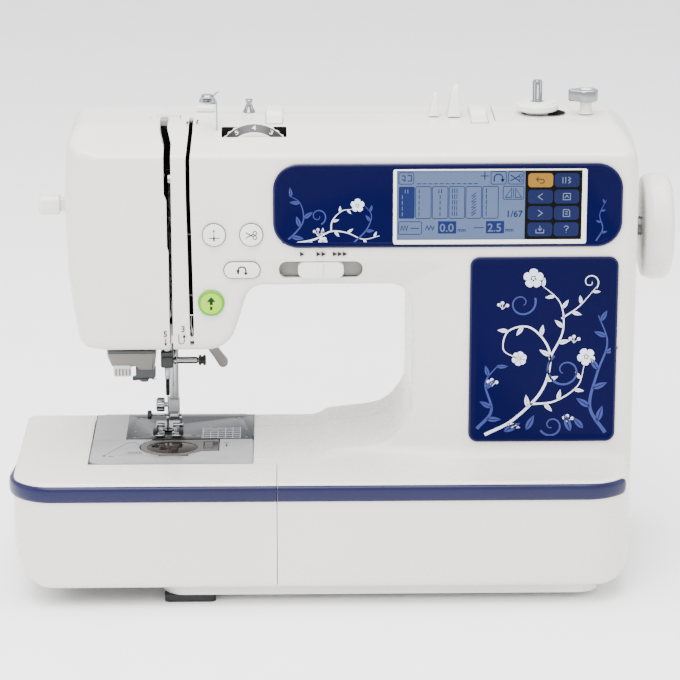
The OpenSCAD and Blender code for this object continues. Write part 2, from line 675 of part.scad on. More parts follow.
module frame_body() {
    // Beam along the arm, hung from posts under the top
    block([threader_rod_x - 6, frame_y, beam_z], [col_r - 14, y_back - 14, beam_z + 9]);
    for (x = [handle_x[0] + 8.5, spool_x + 9])
        block([x, frame_y + 12, beam_z], [x + 9, frame_y + 24, top - wall - touch]);
    // Column, foot and bed casting
    block([col_l + 14, shaft_y + 16, base_plate_top + touch], [col_l + 40, shaft_y + 44, beam_z + 9]);
    block([metal_x0, shaft_y, floor_z], [col_l + 40, shaft_y + 28, floor_z + 14]);
    for (x = post_x) block([x, shaft_y + 8, floor_z], [x + 5, shaft_y + 20, plate_z - touch]);
    // Bearing lugs of the main shaft
    for (x = lug_x) block([x, shaft_y - 10, shaft_z - 10], [x + 10, shaft_y + 22, beam_z + 9]);
    // Bearing lugs of the lower shaft
    for (x = low_lug_x) block([x, lower_y - 7, floor_z], [x + 8, shaft_y + 1, lower_z + 7]);
    // Hook bearing, reached around the lower gear
    block([hook_x - 24, hook_y - 6, floor_z], [hook_x - 16, shaft_y + 1, floor_z + 2.6]);
    block([hook_x - 24, hook_y - 6, floor_z], [hook_x + 6, hook_y + 6, floor_z + 2.6]);
    // Head plate with its lugs
    block([threader_rod_x - 6, frame_y, head_z - 6], [needle_x + 24, frame_y + 6, beam_z + 9]);
    block([lift_pivot[0] - 6, frame_y, lift_pivot[1] - 6], [lift_pivot[0] + 6, frame_y + 6, head_z]);
    block([needle_x - 9, needle_y - 7, bar_lug_z[0]], [needle_x + 12, frame_y + 1, bar_lug_z[1]]);
    block([needle_x - 8, needle_y - 11, under + 8], [needle_x + 5.7, frame_y + 1, under + 22]);
    block([needle_x - 8, lever_pivot[0] - 6, under + 8], [needle_x + 3.2, needle_y - 5, lever_pivot[1] + 6]);
    block([needle_x - 3, needle_y + 7.5, head_z + 20], [needle_x + 7.8, frame_y + 1, head_z + 29]);
    block([threader_rod_x - 6, needle_y - 6, head_z + 12], [threader_rod_x + 6, frame_y + 1, head_z + 22]);
    // Bracket of the tension dial
    block([dial_x - 7, dial_y + dial_w + 2, beam_z], [dial_x + 7, frame_y + 4, dial_z + 7]);
    // Post that guides the feed bar
    rod_z(needle_x, needle_y + 12, floor_z + 13, plate_z - 3, 2);
}

module arm_frame() color("darkgray") difference() {
    frame_body();
    rod_x(needle_x, col_r, shaft_y, shaft_z, main_shaft_d / 2 + run_fit);
    rod_x(hook_x + 10, col_l + 20, lower_y, lower_z, lower_shaft_d / 2 + run_fit);
    rod_z(hook_x, hook_y, floor_z - 1, floor_z + 4, 3 + run_fit);
    rod_z(needle_x, needle_y, head_z - 10, under + 30, needle_bar_d / 2 + run_fit);
    rod_z(presser_x, presser_y, head_z - 10, head_z + 40, presser_bar_d / 2 + run_fit);
    rod_z(threader_rod_x, needle_y, head_z, head_z + 30, 2.5 + run_fit);
    rod_x(needle_x - 20, needle_x + 5, lever_pivot[0], lever_pivot[1], 2 + run_fit);
    rod_y(lift_pivot[0], frame_y - 1, frame_y + 7, lift_pivot[1], 2.5 + run_fit);
    rod_y(dial_x, dial_y, dial_y + dial_w + 13, dial_z, 3 + run_fit);
    rod_x(link_x[0] - 1, disc_x + 6.5, shaft_y, shaft_z, crank_r + 8.5);
    block([link_x[0] - 0.6, frame_y - 1, stub_z - stroke - 6], [link_x[1] + 0.6, frame_y + 14, shaft_z]);
}

// ---- Drive -------------------------------------------------------------------------------

timing_x = col_l + 46;
drive_x = col_l + 64;         // belt from the motor
belt_w = 12;
drive_r = 26;                 // belt pulley on the main shaft
motor_at = [shaft_y + 36, skirt_z + 34];
motor_pulley_r = 10;
fan_r = 14;                   // cooling fan on the motor's shaft
disc_x = needle_x + 15.2;     // crank disc

// Ring of a belt around two pulleys given by [y, z, r]
module belt(x, a, b) along_x(x + 1, x + belt_w - 1) difference() {
    hull() for (p = [a, b]) translate([p[0], p[1]]) circle(r = p[2] + 2, $fn = 64);
    hull() for (p = [a, b]) translate([p[0], p[1]]) circle(r = p[2] + gap, $fn = 64);
}

// Pulley with rims that keep the belt on
module pulley(x, y, z, r) {
    rod_x(x, x + belt_w, y, z, r);
    for (e = [0, belt_w - 0.7]) rod_x(x + e, x + e + 0.7, y, z, r + 2.4);
}

module drive_belts() color("black") {
    belt(timing_x, [shaft_y, shaft_z, pulley_r], [lower_y, lower_z, pulley_r]);
    belt(drive_x, [shaft_y, shaft_z, drive_r], [motor_at[0], motor_at[1], motor_pulley_r]);
}

module main_shaft() color(steel) {
    rod_x(disc_x, x_r - 8, shaft_y, shaft_z, main_shaft_d / 2);
    rod_x(disc_x, disc_x + 5.5, shaft_y, shaft_z, crank_r + 5.5);
    rod_x(needle_x + 11.4, disc_x + eps, shaft_y, shaft_z + crank_r, 3);
    pulley(timing_x, shaft_y, shaft_z, pulley_r);
    pulley(drive_x, shaft_y, shaft_z, drive_r);
    rod_x(lug_x[0] + 11, lug_x[0] + 17, shaft_y, shaft_z, main_shaft_d / 2 + 4);
}

module handwheel() color(white) difference() {
    translate([col_r + 1, shaft_y, shaft_z]) rotate([0, 90, 0]) rotate_extrude($fn = 96)
        polygon(rounded([[0, 0], [wheel_r - 3, 0, 2], [wheel_r, 6, 5], [wheel_r, wheel_proud - 1, 7],
            [wheel_r - 9, wheel_proud - 1, 3], [wheel_r - 12, wheel_proud - 4, 3], [0, wheel_proud - 4]]));
    rod_x(col_r, x_r - 8 + touch, shaft_y, shaft_z, main_shaft_d / 2 + touch);
    for (i = [0:23]) translate([x_r - 11, shaft_y, shaft_z]) rotate([i * 15, 0, 0])
        translate([0, 0, wheel_r + 0.4]) rotate([0, 90, 0]) cylinder(r = 1.2, h = 9, center = true);
}

module lower_shaft() color(steel) {
    rod_x(hook_x - 6, timing_x + belt_w, lower_y, lower_z, lower_shaft_d / 2);
    rod_x(hook_x - 4, hook_x + 4, lower_y, lower_z, 8);
    for (i = [0:15]) translate([0, lower_y, lower_z]) rotate([i * 22.5, 0, 0])
        block([hook_x - 4, -0.7, 7.5], [hook_x + 4, 0.7, 8.8]);
    pulley(timing_x, lower_y, lower_z, pulley_r);
    rod_x(low_lug_x[0] + 8.5, low_lug_x[0] + 13, lower_y, lower_z, lower_shaft_d / 2 + 3);
}

basket_h = plate_z - 1 - rot_z;
case_r = hook_r - 3;

module rotary_hook() color(steel) difference() {
    union() {
        rod_z(hook_x, hook_y, rot_z, rot_z + basket_h, hook_r);
        rod_z(hook_x, hook_y, floor_z + 0.3, rot_z + eps, 3);
        rod_z(hook_x, hook_y, lower_z - 5, lower_z + 6, 5.6);
    }
    rod_z(hook_x, hook_y, rot_z + 1.6, plate_z, hook_r - 2.5);
    for (i = [0:7]) translate([hook_x, hook_y, 0]) rotate([0, 0, i * 45])
        block([4.6, -0.7, lower_z - 6], [7, 0.7, lower_z + 7]);
    translate([hook_x, hook_y, 0]) rotate([0, 0, 60])
        block([hook_r - 4, -9, rot_z + 5.5], [hook_r + 1, 9, plate_z]);
}

module bobbin_case() color("black") difference() {
    rod_z(hook_x, hook_y, rot_z + 1.6 + gap, plate_z - 1, case_r);
    rod_z(hook_x, hook_y, bobbin_z - gap, plate_z, bobbin_r + 1);
    block([hook_x - 2, hook_y - case_r - 1, bobbin_z + 3], [hook_x + 2, hook_y - bobbin_r, plate_z]);
}

bobbin_z = plate_z - 0.6 - bobbin_h;

module bobbin() color("lightblue", 0.7) difference() {
    union() {
        rod_z(hook_x, hook_y, bobbin_z, bobbin_z + 1, bobbin_r);
        rod_z(hook_x, hook_y, bobbin_z, bobbin_z + bobbin_h, 4.5);
        rod_z(hook_x, hook_y, bobbin_z + bobbin_h - 1, bobbin_z + bobbin_h, bobbin_r);
    }
    rod_z(hook_x, hook_y, bobbin_z - 1, bobbin_z + bobbin_h + 1, winder_d / 2 + 0.1);
    for (i = [0:5]) translate([hook_x, hook_y, 0]) rotate([0, 0, i * 60])
        rod_z((bobbin_r + 4.5) / 2, 0, bobbin_z - 1, bobbin_z + bobbin_h + 1, 1);
}

module drive_motor() color(dark) difference() {
    union() {
        rod_x(drive_x + belt_w + 5, drive_x + belt_w + 50, motor_at[0], motor_at[1], 21);
        rod_x(drive_x + belt_w + 2, drive_x + belt_w + 5 + eps, motor_at[0], motor_at[1], 9);
        for (x = [12, 36]) block([drive_x + belt_w + x, motor_at[0] - 16, base_plate_top + touch],
            [drive_x + belt_w + x + 6, motor_at[0] + 16, motor_at[1] - 10]);
    }
    rod_x(drive_x + belt_w, drive_x + belt_w + 20, motor_at[0], motor_at[1], 3 + run_fit);
    for (i = [0:11]) translate([0, motor_at[0], motor_at[1]]) rotate([i * 30, 0, 0])
        block([drive_x + belt_w + 12, -1.5, 18.5], [drive_x + belt_w + 34, 1.5, 23]);
}

module motor_pulley() color(steel) {
    pulley(drive_x, motor_at[0], motor_at[1], motor_pulley_r);
    rod_x(drive_x - 3.5, drive_x + eps, motor_at[0], motor_at[1], fan_r);
    rod_x(drive_x, drive_x + belt_w + 18, motor_at[0], motor_at[1], 3);
}

module power_inlet() color("black") difference() {
    block([col_r - 16, switch_y - 10 + touch, socket_z - 12 + touch], [col_r - wall - touch, inlet_y + 12, socket_z + 13]);
    block([col_r - 11, switch_y - 8, socket_z - 10], [col_r + 1, switch_y + 8, socket_z + 10]);
    difference() {
        block([col_r - 14, inlet_y - 10, socket_z - 8], [col_r + 1, inlet_y + 10, socket_z + 8]);
        for (s = [-1, 1]) rod_x(col_r - 15, col_r - 8, inlet_y + s * 4.5, socket_z, 1.2);
    }
    rod_y(col_r - 5, switch_y - 9.5, switch_y + 9.5, socket_z, 1.5 + run_fit);
}

module power_switch() color("black") {
    rod_y(col_r - 5, switch_y - 9.2, switch_y + 9.2, socket_z, 1.5);
    along_y(switch_y - 7.6, switch_y + 7.6) polygon([[col_r - 7.5, socket_z - 6], [col_r - 0.8, socket_z - 9],
        [col_r - 1.8, socket_z], [col_r - 0.2, socket_z + 9], [col_r - 7.5, socket_z + 6]]);
}

// ---- Needle, presser and threading parts ----------------------------------------------

clamp_z = [head_z - 25.3, head_z - 14.5];
needle_tip = min(bed_z + 15.5, clamp_z[0] - 20);
stub_z = (collar_z[0] + collar_z[1]) / 2;

module needle_bar() color(steel) {
    rod_z(needle_x, needle_y, clamp_z[0] + 2, shaft_z + 38, needle_bar_d / 2);
    rod_z(needle_x, needle_y, collar_z[0], collar_z[1], 5.4);
    rod_x(needle_x, needle_x + 11.2, needle_y, stub_z, 2.5);
}

module needle_clamp() color("black") difference() {
    union() {
        block([needle_x - 4.1, needle_y - 4.6, clamp_z[0]], [needle_x + 4.1, needle_y + 4.6, clamp_z[1]]);
        rod_z(needle_x, needle_y, clamp_z[0] - 2, clamp_z[0] + eps, 1.8);
    }
    rod_z(needle_x, needle_y, clamp_z[0] + 2 - touch, clamp_z[1] + 1, needle_bar_d / 2 + touch);
    rod_z(needle_x, needle_y, clamp_z[0] - 4, clamp_z[0] + 3, 1.02);
    rod_x(needle_x + 1, needle_x + 5, needle_y, clamp_z[0] + 4, 1.5 + run_fit);
}

module needle() color(steel) {
    rod_z(needle_x, needle_y, clamp_z[0] - 10, clamp_z[0] + 2 - 2 * touch, 1);
    rod_z(needle_x, needle_y, needle_tip + 3, clamp_z[0] - 10 + eps, 0.45);
    translate([needle_x, needle_y, needle_tip]) cylinder(r1 = 0.1, r2 = 0.45, h = 3 + eps);
}

module clamp_screw() color("black") {
    rod_x(needle_x + needle_bar_d / 2 + gap, needle_x + 25, needle_y, clamp_z[0] + 4, 1.5);
    rod_x(needle_x + 20, needle_x + 25, needle_y, clamp_z[0] + 4, 3.4);
    rod_x(needle_x + 4.4, needle_x + 6.4, needle_y, clamp_z[0] + 4, 2.6);
}

// Rod between the needle bar's stub and the crank pin
link_x = [needle_x + 8.1, needle_x + 11.1];
link_at = [[needle_y, stub_z], [shaft_y, shaft_z + crank_r]];
link_len = norm(link_at[1] - link_at[0]);
link_tilt = atan2(link_at[1][0] - link_at[0][0], link_at[1][1] - link_at[0][1]);

module needle_link() color("darkgray") difference() {
    union() {
        for (p = link_at) rod_x(link_x[0], link_x[1], p[0], p[1], 5.2);
        translate([0, link_at[0][0], link_at[0][1]]) rotate([-link_tilt, 0, 0])
            block([link_x[0], -3, 0], [link_x[1], 3, link_len]);
    }
    rod_x(link_x[0] - 1, link_x[1] + 1, link_at[0][0], link_at[0][1], 2.5 + run_fit);
    rod_x(link_x[0] - 1, link_x[1] + 1, link_at[1][0], link_at[1][1], 3 + run_fit);
}

lever_len = 37.4;              // pivot to thread eye
lever_tilt = 55;              // rest angle above the forward direction

module take_up_lever() color(steel) difference() {
    translate([0, lever_pivot[0], lever_pivot[1]]) {
        rod_x(needle_x - 4, needle_x + 5.4, 0, 0, 2);
        rod_x(needle_x + 3.6, needle_x + 5.4, 0, 0, 5);
        rotate([-lever_tilt, 0, 0]) {
            block([needle_x + 3.6, -lever_len, -3], [needle_x + 5.4, 0, 3]);
            rod_x(needle_x + 3.6, needle_x + 5.4, -lever_len, 0, 3.4);
        }
    }
    translate([0, lever_pivot[0], lever_pivot[1]]) rotate([-lever_tilt, 0, 0])
        rod_x(needle_x + 3, needle_x + 6, -lever_len, 0, 1.4);
}

holder_z = [bed_z + 9.7, bed_z + 20.5];
foot_z = bed_z + 0.4;

module presser_bar() color(steel)
    rod_z(presser_x, presser_y, holder_z[0] + 3, head_z + 40 + foot_lift, presser_bar_d / 2);

module foot_holder() color(steel) difference() {
    union() {
        block([presser_x - 4.8, presser_y - 4.5, holder_z[0]], [presser_x + 4.8, presser_y + 4.5, holder_z[1]]);
        block([presser_x - 3, presser_y - 10, holder_z[0] - 1.5], [presser_x + 3, presser_y + 4.5, holder_z[0] + 3]);
    }
    rod_z(presser_x, presser_y, holder_z[0] + 3 - touch, holder_z[1] + 1, presser_bar_d / 2 + touch);
    rod_x(presser_x - 6, presser_x - 2, presser_y, bed_z + 16, 1.6 + run_fit);
    rod_x(presser_x - 4, presser_x + 4, presser_y - 8.2, holder_z[0] + 0.6, 1 + run_fit);
}

module foot_screw() color(steel) {
    rod_x(presser_x - 12, presser_x - 6, presser_y, bed_z + 16, 4.6);
    rod_x(presser_x - 6 - eps, presser_x - presser_bar_d / 2 - gap, presser_y, bed_z + 16, 1.6);
}

foot_y = [needle_y - 10, needle_y + 20];
pivot_z = holder_z[0] + 0.6;

module presser_foot() color(steel) difference() {
    union() {
        block([needle_x - 8.6, foot_y[0] + 6, foot_z], [needle_x + 8.6, foot_y[1], foot_z + 2]);
        for (s = [-1, 1]) translate([needle_x + s * 5.4, 0, 0])
            block([-3.2, foot_y[0], foot_z + 0.6], [3.2, foot_y[0] + 8, foot_z + 2]);
        for (x = [presser_x - 5.1, presser_x + 3.4])
            block([x, presser_y - 10, foot_z + 1], [x + 1.7, presser_y - 5.5, pivot_z + 2]);
        rod_x(presser_x - 5, presser_x + 5, presser_y - 8.2, pivot_z, 1);
    }
    translate([needle_x, needle_y, foot_z - 1]) translate([-3.6, -1.6, 0]) cube([7.2, 3.6, 5]);
    block([needle_x - 1, foot_y[0] - 1, foot_z - 1], [needle_x + 1, needle_y, foot_z + 5]);
}

module presser_lever() color("gray") {
    rod_y(lift_pivot[0], frame_y - 0.2, frame_y + 14, lift_pivot[1], 2.5);
    rod_y(lift_pivot[0], frame_y + 7, frame_y + 14, lift_pivot[1], 4.2);
    translate([lift_pivot[0], 0, lift_pivot[1]]) rotate([0, 55.4, 0]) {
        block([0, frame_y + 7.5, -3.2], [33, frame_y + 13.5, 3.2]);
        rod_y(33, frame_y + 6, frame_y + 15, 0, 4.6);
    }
}

unit_z = [clamp_z[0] + 0.8, clamp_z[1] - 1];

module threader_unit() color("lightgray") {
    block([needle_x - 38.5, needle_y - 6, unit_z[0]], [needle_x - 6.5, needle_y + 5, unit_z[1]]);
    block([needle_x - 33.7, needle_y - 7, unit_z[0] - 4], [needle_x - 22.8, needle_y - 4, unit_z[0] + 2]);
    rod_z(threader_rod_x, needle_y, unit_z[1] - eps, head_z + 34, 2.5);
    block([needle_x - 17, needle_y - 1, unit_z[0] - 10.5], [needle_x - 14, needle_y + 1, unit_z[0] + eps]);
    block([needle_x - 17, needle_y - 1, unit_z[0] - 10.5], [needle_x - 7, needle_y + 1, unit_z[0] - 8]);
}

lever_reach = 17.5;           // how far the threader's lever stands out of the head

module threader_lever() color(white) {
    along_x(head_l - lever_reach, head_l - 1.2) pad([threader_y - 6, threader_z - 5.8], [threader_y + 6, threader_z + 5.8], 2.5);
    block([head_l - 1.2 - eps, threader_y - 2.6, threader_z - 4], [head_l + wall + 0.4, threader_y + 2.6, threader_z + 4]);
    block([head_l + wall + gap, threader_y - 5, threader_z - 6], [head_l + wall + 2.5, threader_y + 5, threader_z + 6]);
}

module feed_dog() color(steel) difference() {
    union() {
        for (x = rail_x) {
            block([x - rail_w / 2, rail_y[0], plate_z - 4], [x + rail_w / 2, rail_y[1], bed_z]);
            for (i = [0:9]) translate([x, rail_y[0] + 1 + i * 2, bed_z - 0.6]) rotate([45, 0, 0])
                cube([rail_w, 0.9, 0.9], center = true);
        }
        block([rail_x[0] - rail_w / 2, needle_y + 5, plate_z - 9], [rail_x[1] + rail_w / 2, needle_y + 19, plate_z - 3]);
    }
    rod_z(needle_x, needle_y + 12, plate_z - 12, plate_z, 2 + run_fit);
}

module work_lamp() color("ivory") difference() {
    block([needle_x + 4, needle_y - 26, head_z - 2], [needle_x + 24, needle_y - 7 - touch, head_z + 3]);
    block([needle_x + 6, needle_y - 24, head_z - 3], [needle_x + 22, needle_y - 10, head_z - 1]);
}

// ---- Parts on the top ---------------------------------------------------------------------

// Height of the sloped top at a given depth
function slope_z(y) = crease_hi + (top - crease_hi) * min(1, max(0, (y - y_face) / (slope_y - y_face)));

guide_y = y_face + 32;

module thread_guides() color(steel) {
    block([needle_x + 33.6, guide_y - 1, slope_z(guide_y) + 0.3], [needle_x + 34.8, guide_y + 1, top + 21]);
    rod_z(needle_x + 28.4, guide_y, top + 13.5, top + 15, 5.4);
    rod_z(needle_x + 28.4, guide_y, top + 15 - eps, top + 18, 3.6);
    rod_z(needle_x + 28.4, guide_y, top + 17.6, top + 19, 4.6);
    block([needle_x + 28.4, guide_y - 0.9, top + 14], [needle_x + 34, guide_y + 0.9, top + 15.5]);
    rod_z(needle_x + 53.8, shaft_y - 2, top + touch, top + 5, 3.4);
    rod_z(needle_x + 53.8, shaft_y - 2, top + 5 - eps, top + 10.5, 1.9);
    rod_z(needle_x + 53.8, shaft_y - 2, top + 9.3, top + 10.8, 2.4);
    block([needle_x + 15, shaft_y + 12, top + touch], [needle_x + 26, shaft_y + 16, top + 2.5]);
}

module winder_stop() color(steel) {
    rod_z(stop_at[0], stop_at[1], top + touch, top + 8, 3.75);
    along_z(top + 7, top + 15) translate([stop_at[0] - 2.5, stop_at[1]])
        polygon(rounded([[-10.4, 0, 2], [0, -7, 7], [8, -6, 3], [10.4, 0, 4], [8, 6, 3], [0, 7, 7]]));
}

module winder_spindle() color(steel) {
    rod_z(winder_at[0], winder_at[1], top - 24, top + 20.5, winder_d / 2);
    rod_z(winder_at[0], winder_at[1], top + 1, top + 6.8, 13.5);
    rod_z(winder_at[0], winder_at[1], top - 2, top + 1 + eps, 7);
}

module spool_stand() color(white) for (fin = [[spool_x + 0.4, 4.2, 11.5], [spool_x + 9.7, 7.4, 18.7]])
    translate([fin[0], shaft_y, top + touch]) rotate([90, 0, 90]) linear_extrude(fin[1])
        polygon(rounded([[-fin[2] * 0.55, 0], [-2.5, fin[2], 2.4], [2.5, fin[2], 2.4], [fin[2] * 0.55, 0]]));

module spool_pin() color(white) {
    rod_x(spool_x - spool_len, spool_x, spool_y, spool_z, 2.6);
    rod_y(spool_x, spool_y - 5, spool_y + 5, spool_z, 4);
    rod_y(spool_x, spool_y - 7.5, spool_y + 7.5, spool_z, 1.6);
}

grip_z = top - 52;            // lower edge of the folded grip

module carry_handle() color(white) {
    for (x = handle_x) translate([x, 0, 0]) {
        along_x(-strap_w / 2, strap_w / 2) polygon(rounded([[handle_y, handle_z - strap_t / 2],
            [handle_y, handle_z + strap_t / 2 + 3.5], [y_rear, handle_z + strap_t / 2 + 3.5, 14],
            [y_rear, grip_z, 3], [y_rear - 8, grip_z], [y_rear - 8, handle_z - strap_t / 2 + 2, 10],
            [y_back, handle_z - strap_t / 2, 10]]));
        rod_x(-strap_w / 2, strap_w / 2, handle_y, handle_z, strap_t / 2 + 1.5);
        rod_x(-strap_w / 2 - 2, strap_w / 2 + 2, handle_y, handle_z, 1.6);
    }
    along_x(handle_x[0] - strap_w / 2, handle_x[1] + strap_w / 2)
        pad([y_rear - 17, grip_z], [y_rear, grip_z + 24], 5);
}

base_plate();
rubber_feet();
front_cover();
rear_cover();
face_cover();
winder_cover();
base_stripe();
arm_frame();
free_arm();
needle_plate();
plate_cover();
display_bezel();
lcd_frame();
touch_panel();
decor_panel();
drive_motor();
circuit_board();
power_inlet();
thread_guides();
winder_stop();
work_lamp();
bobbin_case();
drive_belts();
cover_screws();
spool_stand();
handwheel();
main_shaft();
lower_shaft();
rotary_hook();
motor_pulley();
needle_bar();
needle_clamp();
needle();
clamp_screw();
needle_link();
take_up_lever();
presser_lever();
presser_bar();
foot_holder();
foot_screw();
presser_foot();
threader_lever();
threader_unit();
needle_key();
cutter_key();
reverse_key();
start_key();
speed_slider();
tension_dial();
carry_handle();
extension_table();
table_stripe();
accessory_tray();
bobbin_cover();
cover_latch();
bobbin();
winder_spindle();
power_switch();
feed_dog();
spool_pin();
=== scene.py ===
"""Household sewing machine: the visible pieces, their finishes, the camera and the light.

All lengths are millimetres until a mesh is made, which is in metres.
"""

from __future__ import annotations

import logging
import math
from dataclasses import dataclass, field
from enum import Enum
from typing import Callable, Sequence

import bmesh
import bpy
import numpy as np
from mathutils import Matrix, Vector

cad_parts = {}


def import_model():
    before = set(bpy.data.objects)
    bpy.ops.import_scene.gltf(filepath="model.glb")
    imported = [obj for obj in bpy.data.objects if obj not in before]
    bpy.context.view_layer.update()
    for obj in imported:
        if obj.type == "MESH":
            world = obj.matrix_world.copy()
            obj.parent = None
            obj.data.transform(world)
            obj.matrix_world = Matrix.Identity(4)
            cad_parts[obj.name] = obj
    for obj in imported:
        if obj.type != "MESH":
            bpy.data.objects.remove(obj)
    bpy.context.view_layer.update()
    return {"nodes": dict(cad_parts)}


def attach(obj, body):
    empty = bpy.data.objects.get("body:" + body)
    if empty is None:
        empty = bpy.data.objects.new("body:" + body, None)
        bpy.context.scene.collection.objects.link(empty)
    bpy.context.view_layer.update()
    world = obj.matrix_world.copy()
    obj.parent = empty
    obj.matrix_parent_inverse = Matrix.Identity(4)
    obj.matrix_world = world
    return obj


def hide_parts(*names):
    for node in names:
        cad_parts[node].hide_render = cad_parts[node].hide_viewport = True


LOG = logging.getLogger("sewing_machine")
MM = 0.001
ROOT = "machine"
Point2 = tuple[float, float]
Point3 = tuple[float, float, float]
Box = tuple[float, float, float, float]
Array = np.ndarray
Piece = bpy.types.Object


# ---- Sizes shared by several sub-assemblies ----


@dataclass(frozen=True)
class Places:
    """Common places of the machine, in millimetres."""

    left: float = -208.0
    right: float = 190.0
    column: float = 42.6
    head_left: float = -174.0
    head_right: float = -58.5
    needle_x: float = -112.5
    plate_left: float = -161.0
    plate_right: float = -57.0
    seam_x: float = -42.0
    base_front: float = -94.5
    face: float = -50.0
    slope: float = -8.0
    crest: float = 42.0
    back: float = 74.0
    base_back: float = 84.0
    bed_back: float = 49.0
    arm_front: float = -55.0
    seam_y: float = 22.0
    shaft_y: float = 12.0
    needle_y: float = 5.0
    presser_y: float = 17.0
    skirt: float = 12.0
    bed: float = 82.0
    under: float = 197.2
    crease_low: float = 213.7
    crease_high: float = 278.0
    top: float = 291.5
    brow: float = 273.0
    head_low: float = 153.0
    shaft_z: float = 217.7
    wall: float = 2.5


AT = Places()


# ---- Finishes ----


def linear(hex_code: str) -> tuple[float, float, float, float]:
    """Turns an sRGB hex colour into linear light.

    Args:
        hex_code: six hex digits, such as "F4F4F2".

    Returns:
        Red, green, blue and an alpha of one.
    """
    parts = [int(hex_code[i : i + 2], 16) / 255 for i in (0, 2, 4)]
    low = [c / 12.92 if c <= 0.04045 else ((c + 0.055) / 1.055) ** 2.4 for c in parts]
    return (low[0], low[1], low[2], 1.0)


def add(
    tree: bpy.types.NodeTree, kind: str, inputs: dict[str | int, object], **settings: object,
) -> bpy.types.Node:
    """Adds one node with its settings, values and links.

    Args:
        tree: node tree that gets the node.
        kind: name of the node type.
        inputs: socket to plain value or to the output socket it is linked from.
        **settings: properties of the node itself.

    Returns:
        The new node.
    """
    made = tree.nodes.new(kind)
    for key, value in settings.items():
        setattr(made, key, value)
    for key, value in inputs.items():
        if isinstance(value, bpy.types.NodeSocket):
            tree.links.new(value, made.inputs[key])
        else:
            made.inputs[key].default_value = value
    return made


class Grain(Enum):
    """How the surface was made, which sets the pattern's direction."""

    MOULDED = (1.0, 1.0, 1.0)
    BRUSHED_X = (0.03, 1.0, 1.0)


@dataclass(frozen=True)
class Finish:
    """A real material with its surface, and how it answers light."""

    name: str
    colour: str
    shade: str
    rough: float
    metal: float = 0.0
    ior: float = 1.5
    level: float = 0.5
    coat: float = 0.0
    clear: float = 0.0
    grain: Grain = Grain.MOULDED
    cell_mm: float = 0.9
    depth_mm: float = 0.01
    spread: float = 0.04
    glow: float = 0.0
    patch_mm: float = 60.0

    def build(self) -> bpy.types.Material:
        """Makes the material once and returns it after that."""
        kept = bpy.data.materials.get(self.name)
        if kept:
            return kept
        made = bpy.data.materials.new(self.name)
        made.use_nodes = True
        tree = made.node_tree
        tree.nodes.clear()
        place = add(tree, "ShaderNodeTexCoord", {})
        stretch = add(
            tree, "ShaderNodeMapping", {"Vector": place.outputs["Object"], "Scale": self.grain.value},
        )
        fine = add(
            tree,
            "ShaderNodeTexNoise",
            {"Vector": stretch.outputs["Vector"], "Scale": 1 / (self.cell_mm * MM), "Detail": 3.0},
        )
        broad = add(
            tree,
            "ShaderNodeTexNoise",
            {"Vector": place.outputs["Object"], "Scale": 1 / (self.patch_mm * MM), "Detail": 2.0},
        )
        colour = self._colours(tree, broad)
        rough = add(
            tree,
            "ShaderNodeMapRange",
            {
                "Value": fine.outputs["Fac"],
                "From Min": 0.3,
                "From Max": 0.7,
                "To Min": max(0.02, self.rough - self.spread),
                "To Max": self.rough + self.spread,
            },
        )
        bump = add(
            tree,
            "ShaderNodeBump",
            {"Height": fine.outputs["Fac"], "Distance": self.depth_mm * MM, "Strength": 1.0},
        )
        shader = add(
            tree,
            "ShaderNodeBsdfPrincipled",
            {
                "Base Color": colour,
                "Roughness": rough.outputs["Result"],
                "Normal": bump.outputs["Normal"],
                "Metallic": self.metal,
                "IOR": self.ior,
                "Specular IOR Level": self.level,
                "Coat Weight": self.coat,
                "Coat Roughness": 0.04,
                "Transmission Weight": self.clear,
                "Emission Color": linear(self.colour),
                "Emission Strength": self.glow,
            },
        )
        add(tree, "ShaderNodeOutputMaterial", {"Surface": shader.outputs["BSDF"]})
        return made

    def _colours(self, tree: bpy.types.NodeTree, broad: bpy.types.Node) -> bpy.types.NodeSocket:
        """Blends the two colours over broad patches and returns the colour socket."""
        ramp = add(tree, "ShaderNodeValToRGB", {"Fac": broad.outputs["Fac"]})
        ramp.color_ramp.elements[0].color = linear(self.colour)
        ramp.color_ramp.elements[0].position = 0.35
        ramp.color_ramp.elements[1].color = linear(self.shade)
        ramp.color_ramp.elements[1].position = 0.75
        return ramp.outputs["Color"]


# ABS moulded in a polished tool: bright white, soft clear highlights, faint waviness
ABS_WHITE = Finish(
    "abs_white_polished", "D8D6D0", "D4D2CC", 0.26, level=0.4, coat=0.12, cell_mm=3.0, depth_mm=0.004,
)
# The same ABS with a finer satin tool, for knobs and keys
ABS_SATIN = Finish("abs_white_satin", "DDDCD8", "D7D6D2", 0.36, cell_mm=0.6, depth_mm=0.006)
# Acrylic over navy ink: deep colour under a mirror-like skin
ACRYLIC_NAVY = Finish("acrylic_navy_gloss", "050530", "05062D", 0.1, level=0.03, cell_mm=6.0, depth_mm=0.002)
# The same acrylic painted lighter on its rim: a painted highlight where the rim turns to the light
ACRYLIC_RIM_HIGHLIGHT = Finish("acrylic_navy_rim_painted_highlight", "0C0A35", "0A0830", 0.16, level=0.2, cell_mm=4.0, depth_mm=0.002)
# Lacquered band: navy with a soft lavender sheen along its crown
LACQUER_NAVY = Finish("lacquer_navy", "0B0D38", "090A33", 0.3, level=0.28, cell_mm=0.5, depth_mm=0.012)
# Printed inks on the panels
INK_WHITE = Finish("ink_white", "CDCFDB", "C2C4D4", 0.3, level=0.15, cell_mm=0.8, depth_mm=0.004)
INK_BLUE = Finish("ink_mid_blue", "2E376F", "293167", 0.3, level=0.1, cell_mm=0.8, depth_mm=0.004)
INK_GREY = Finish("ink_grey", "494A4D", "414346", 0.45, level=0.2, cell_mm=0.6, depth_mm=0.003)
INK_DARK = Finish("ink_dark", "191A1D", "141619", 0.45, level=0.2, cell_mm=0.6, depth_mm=0.003)
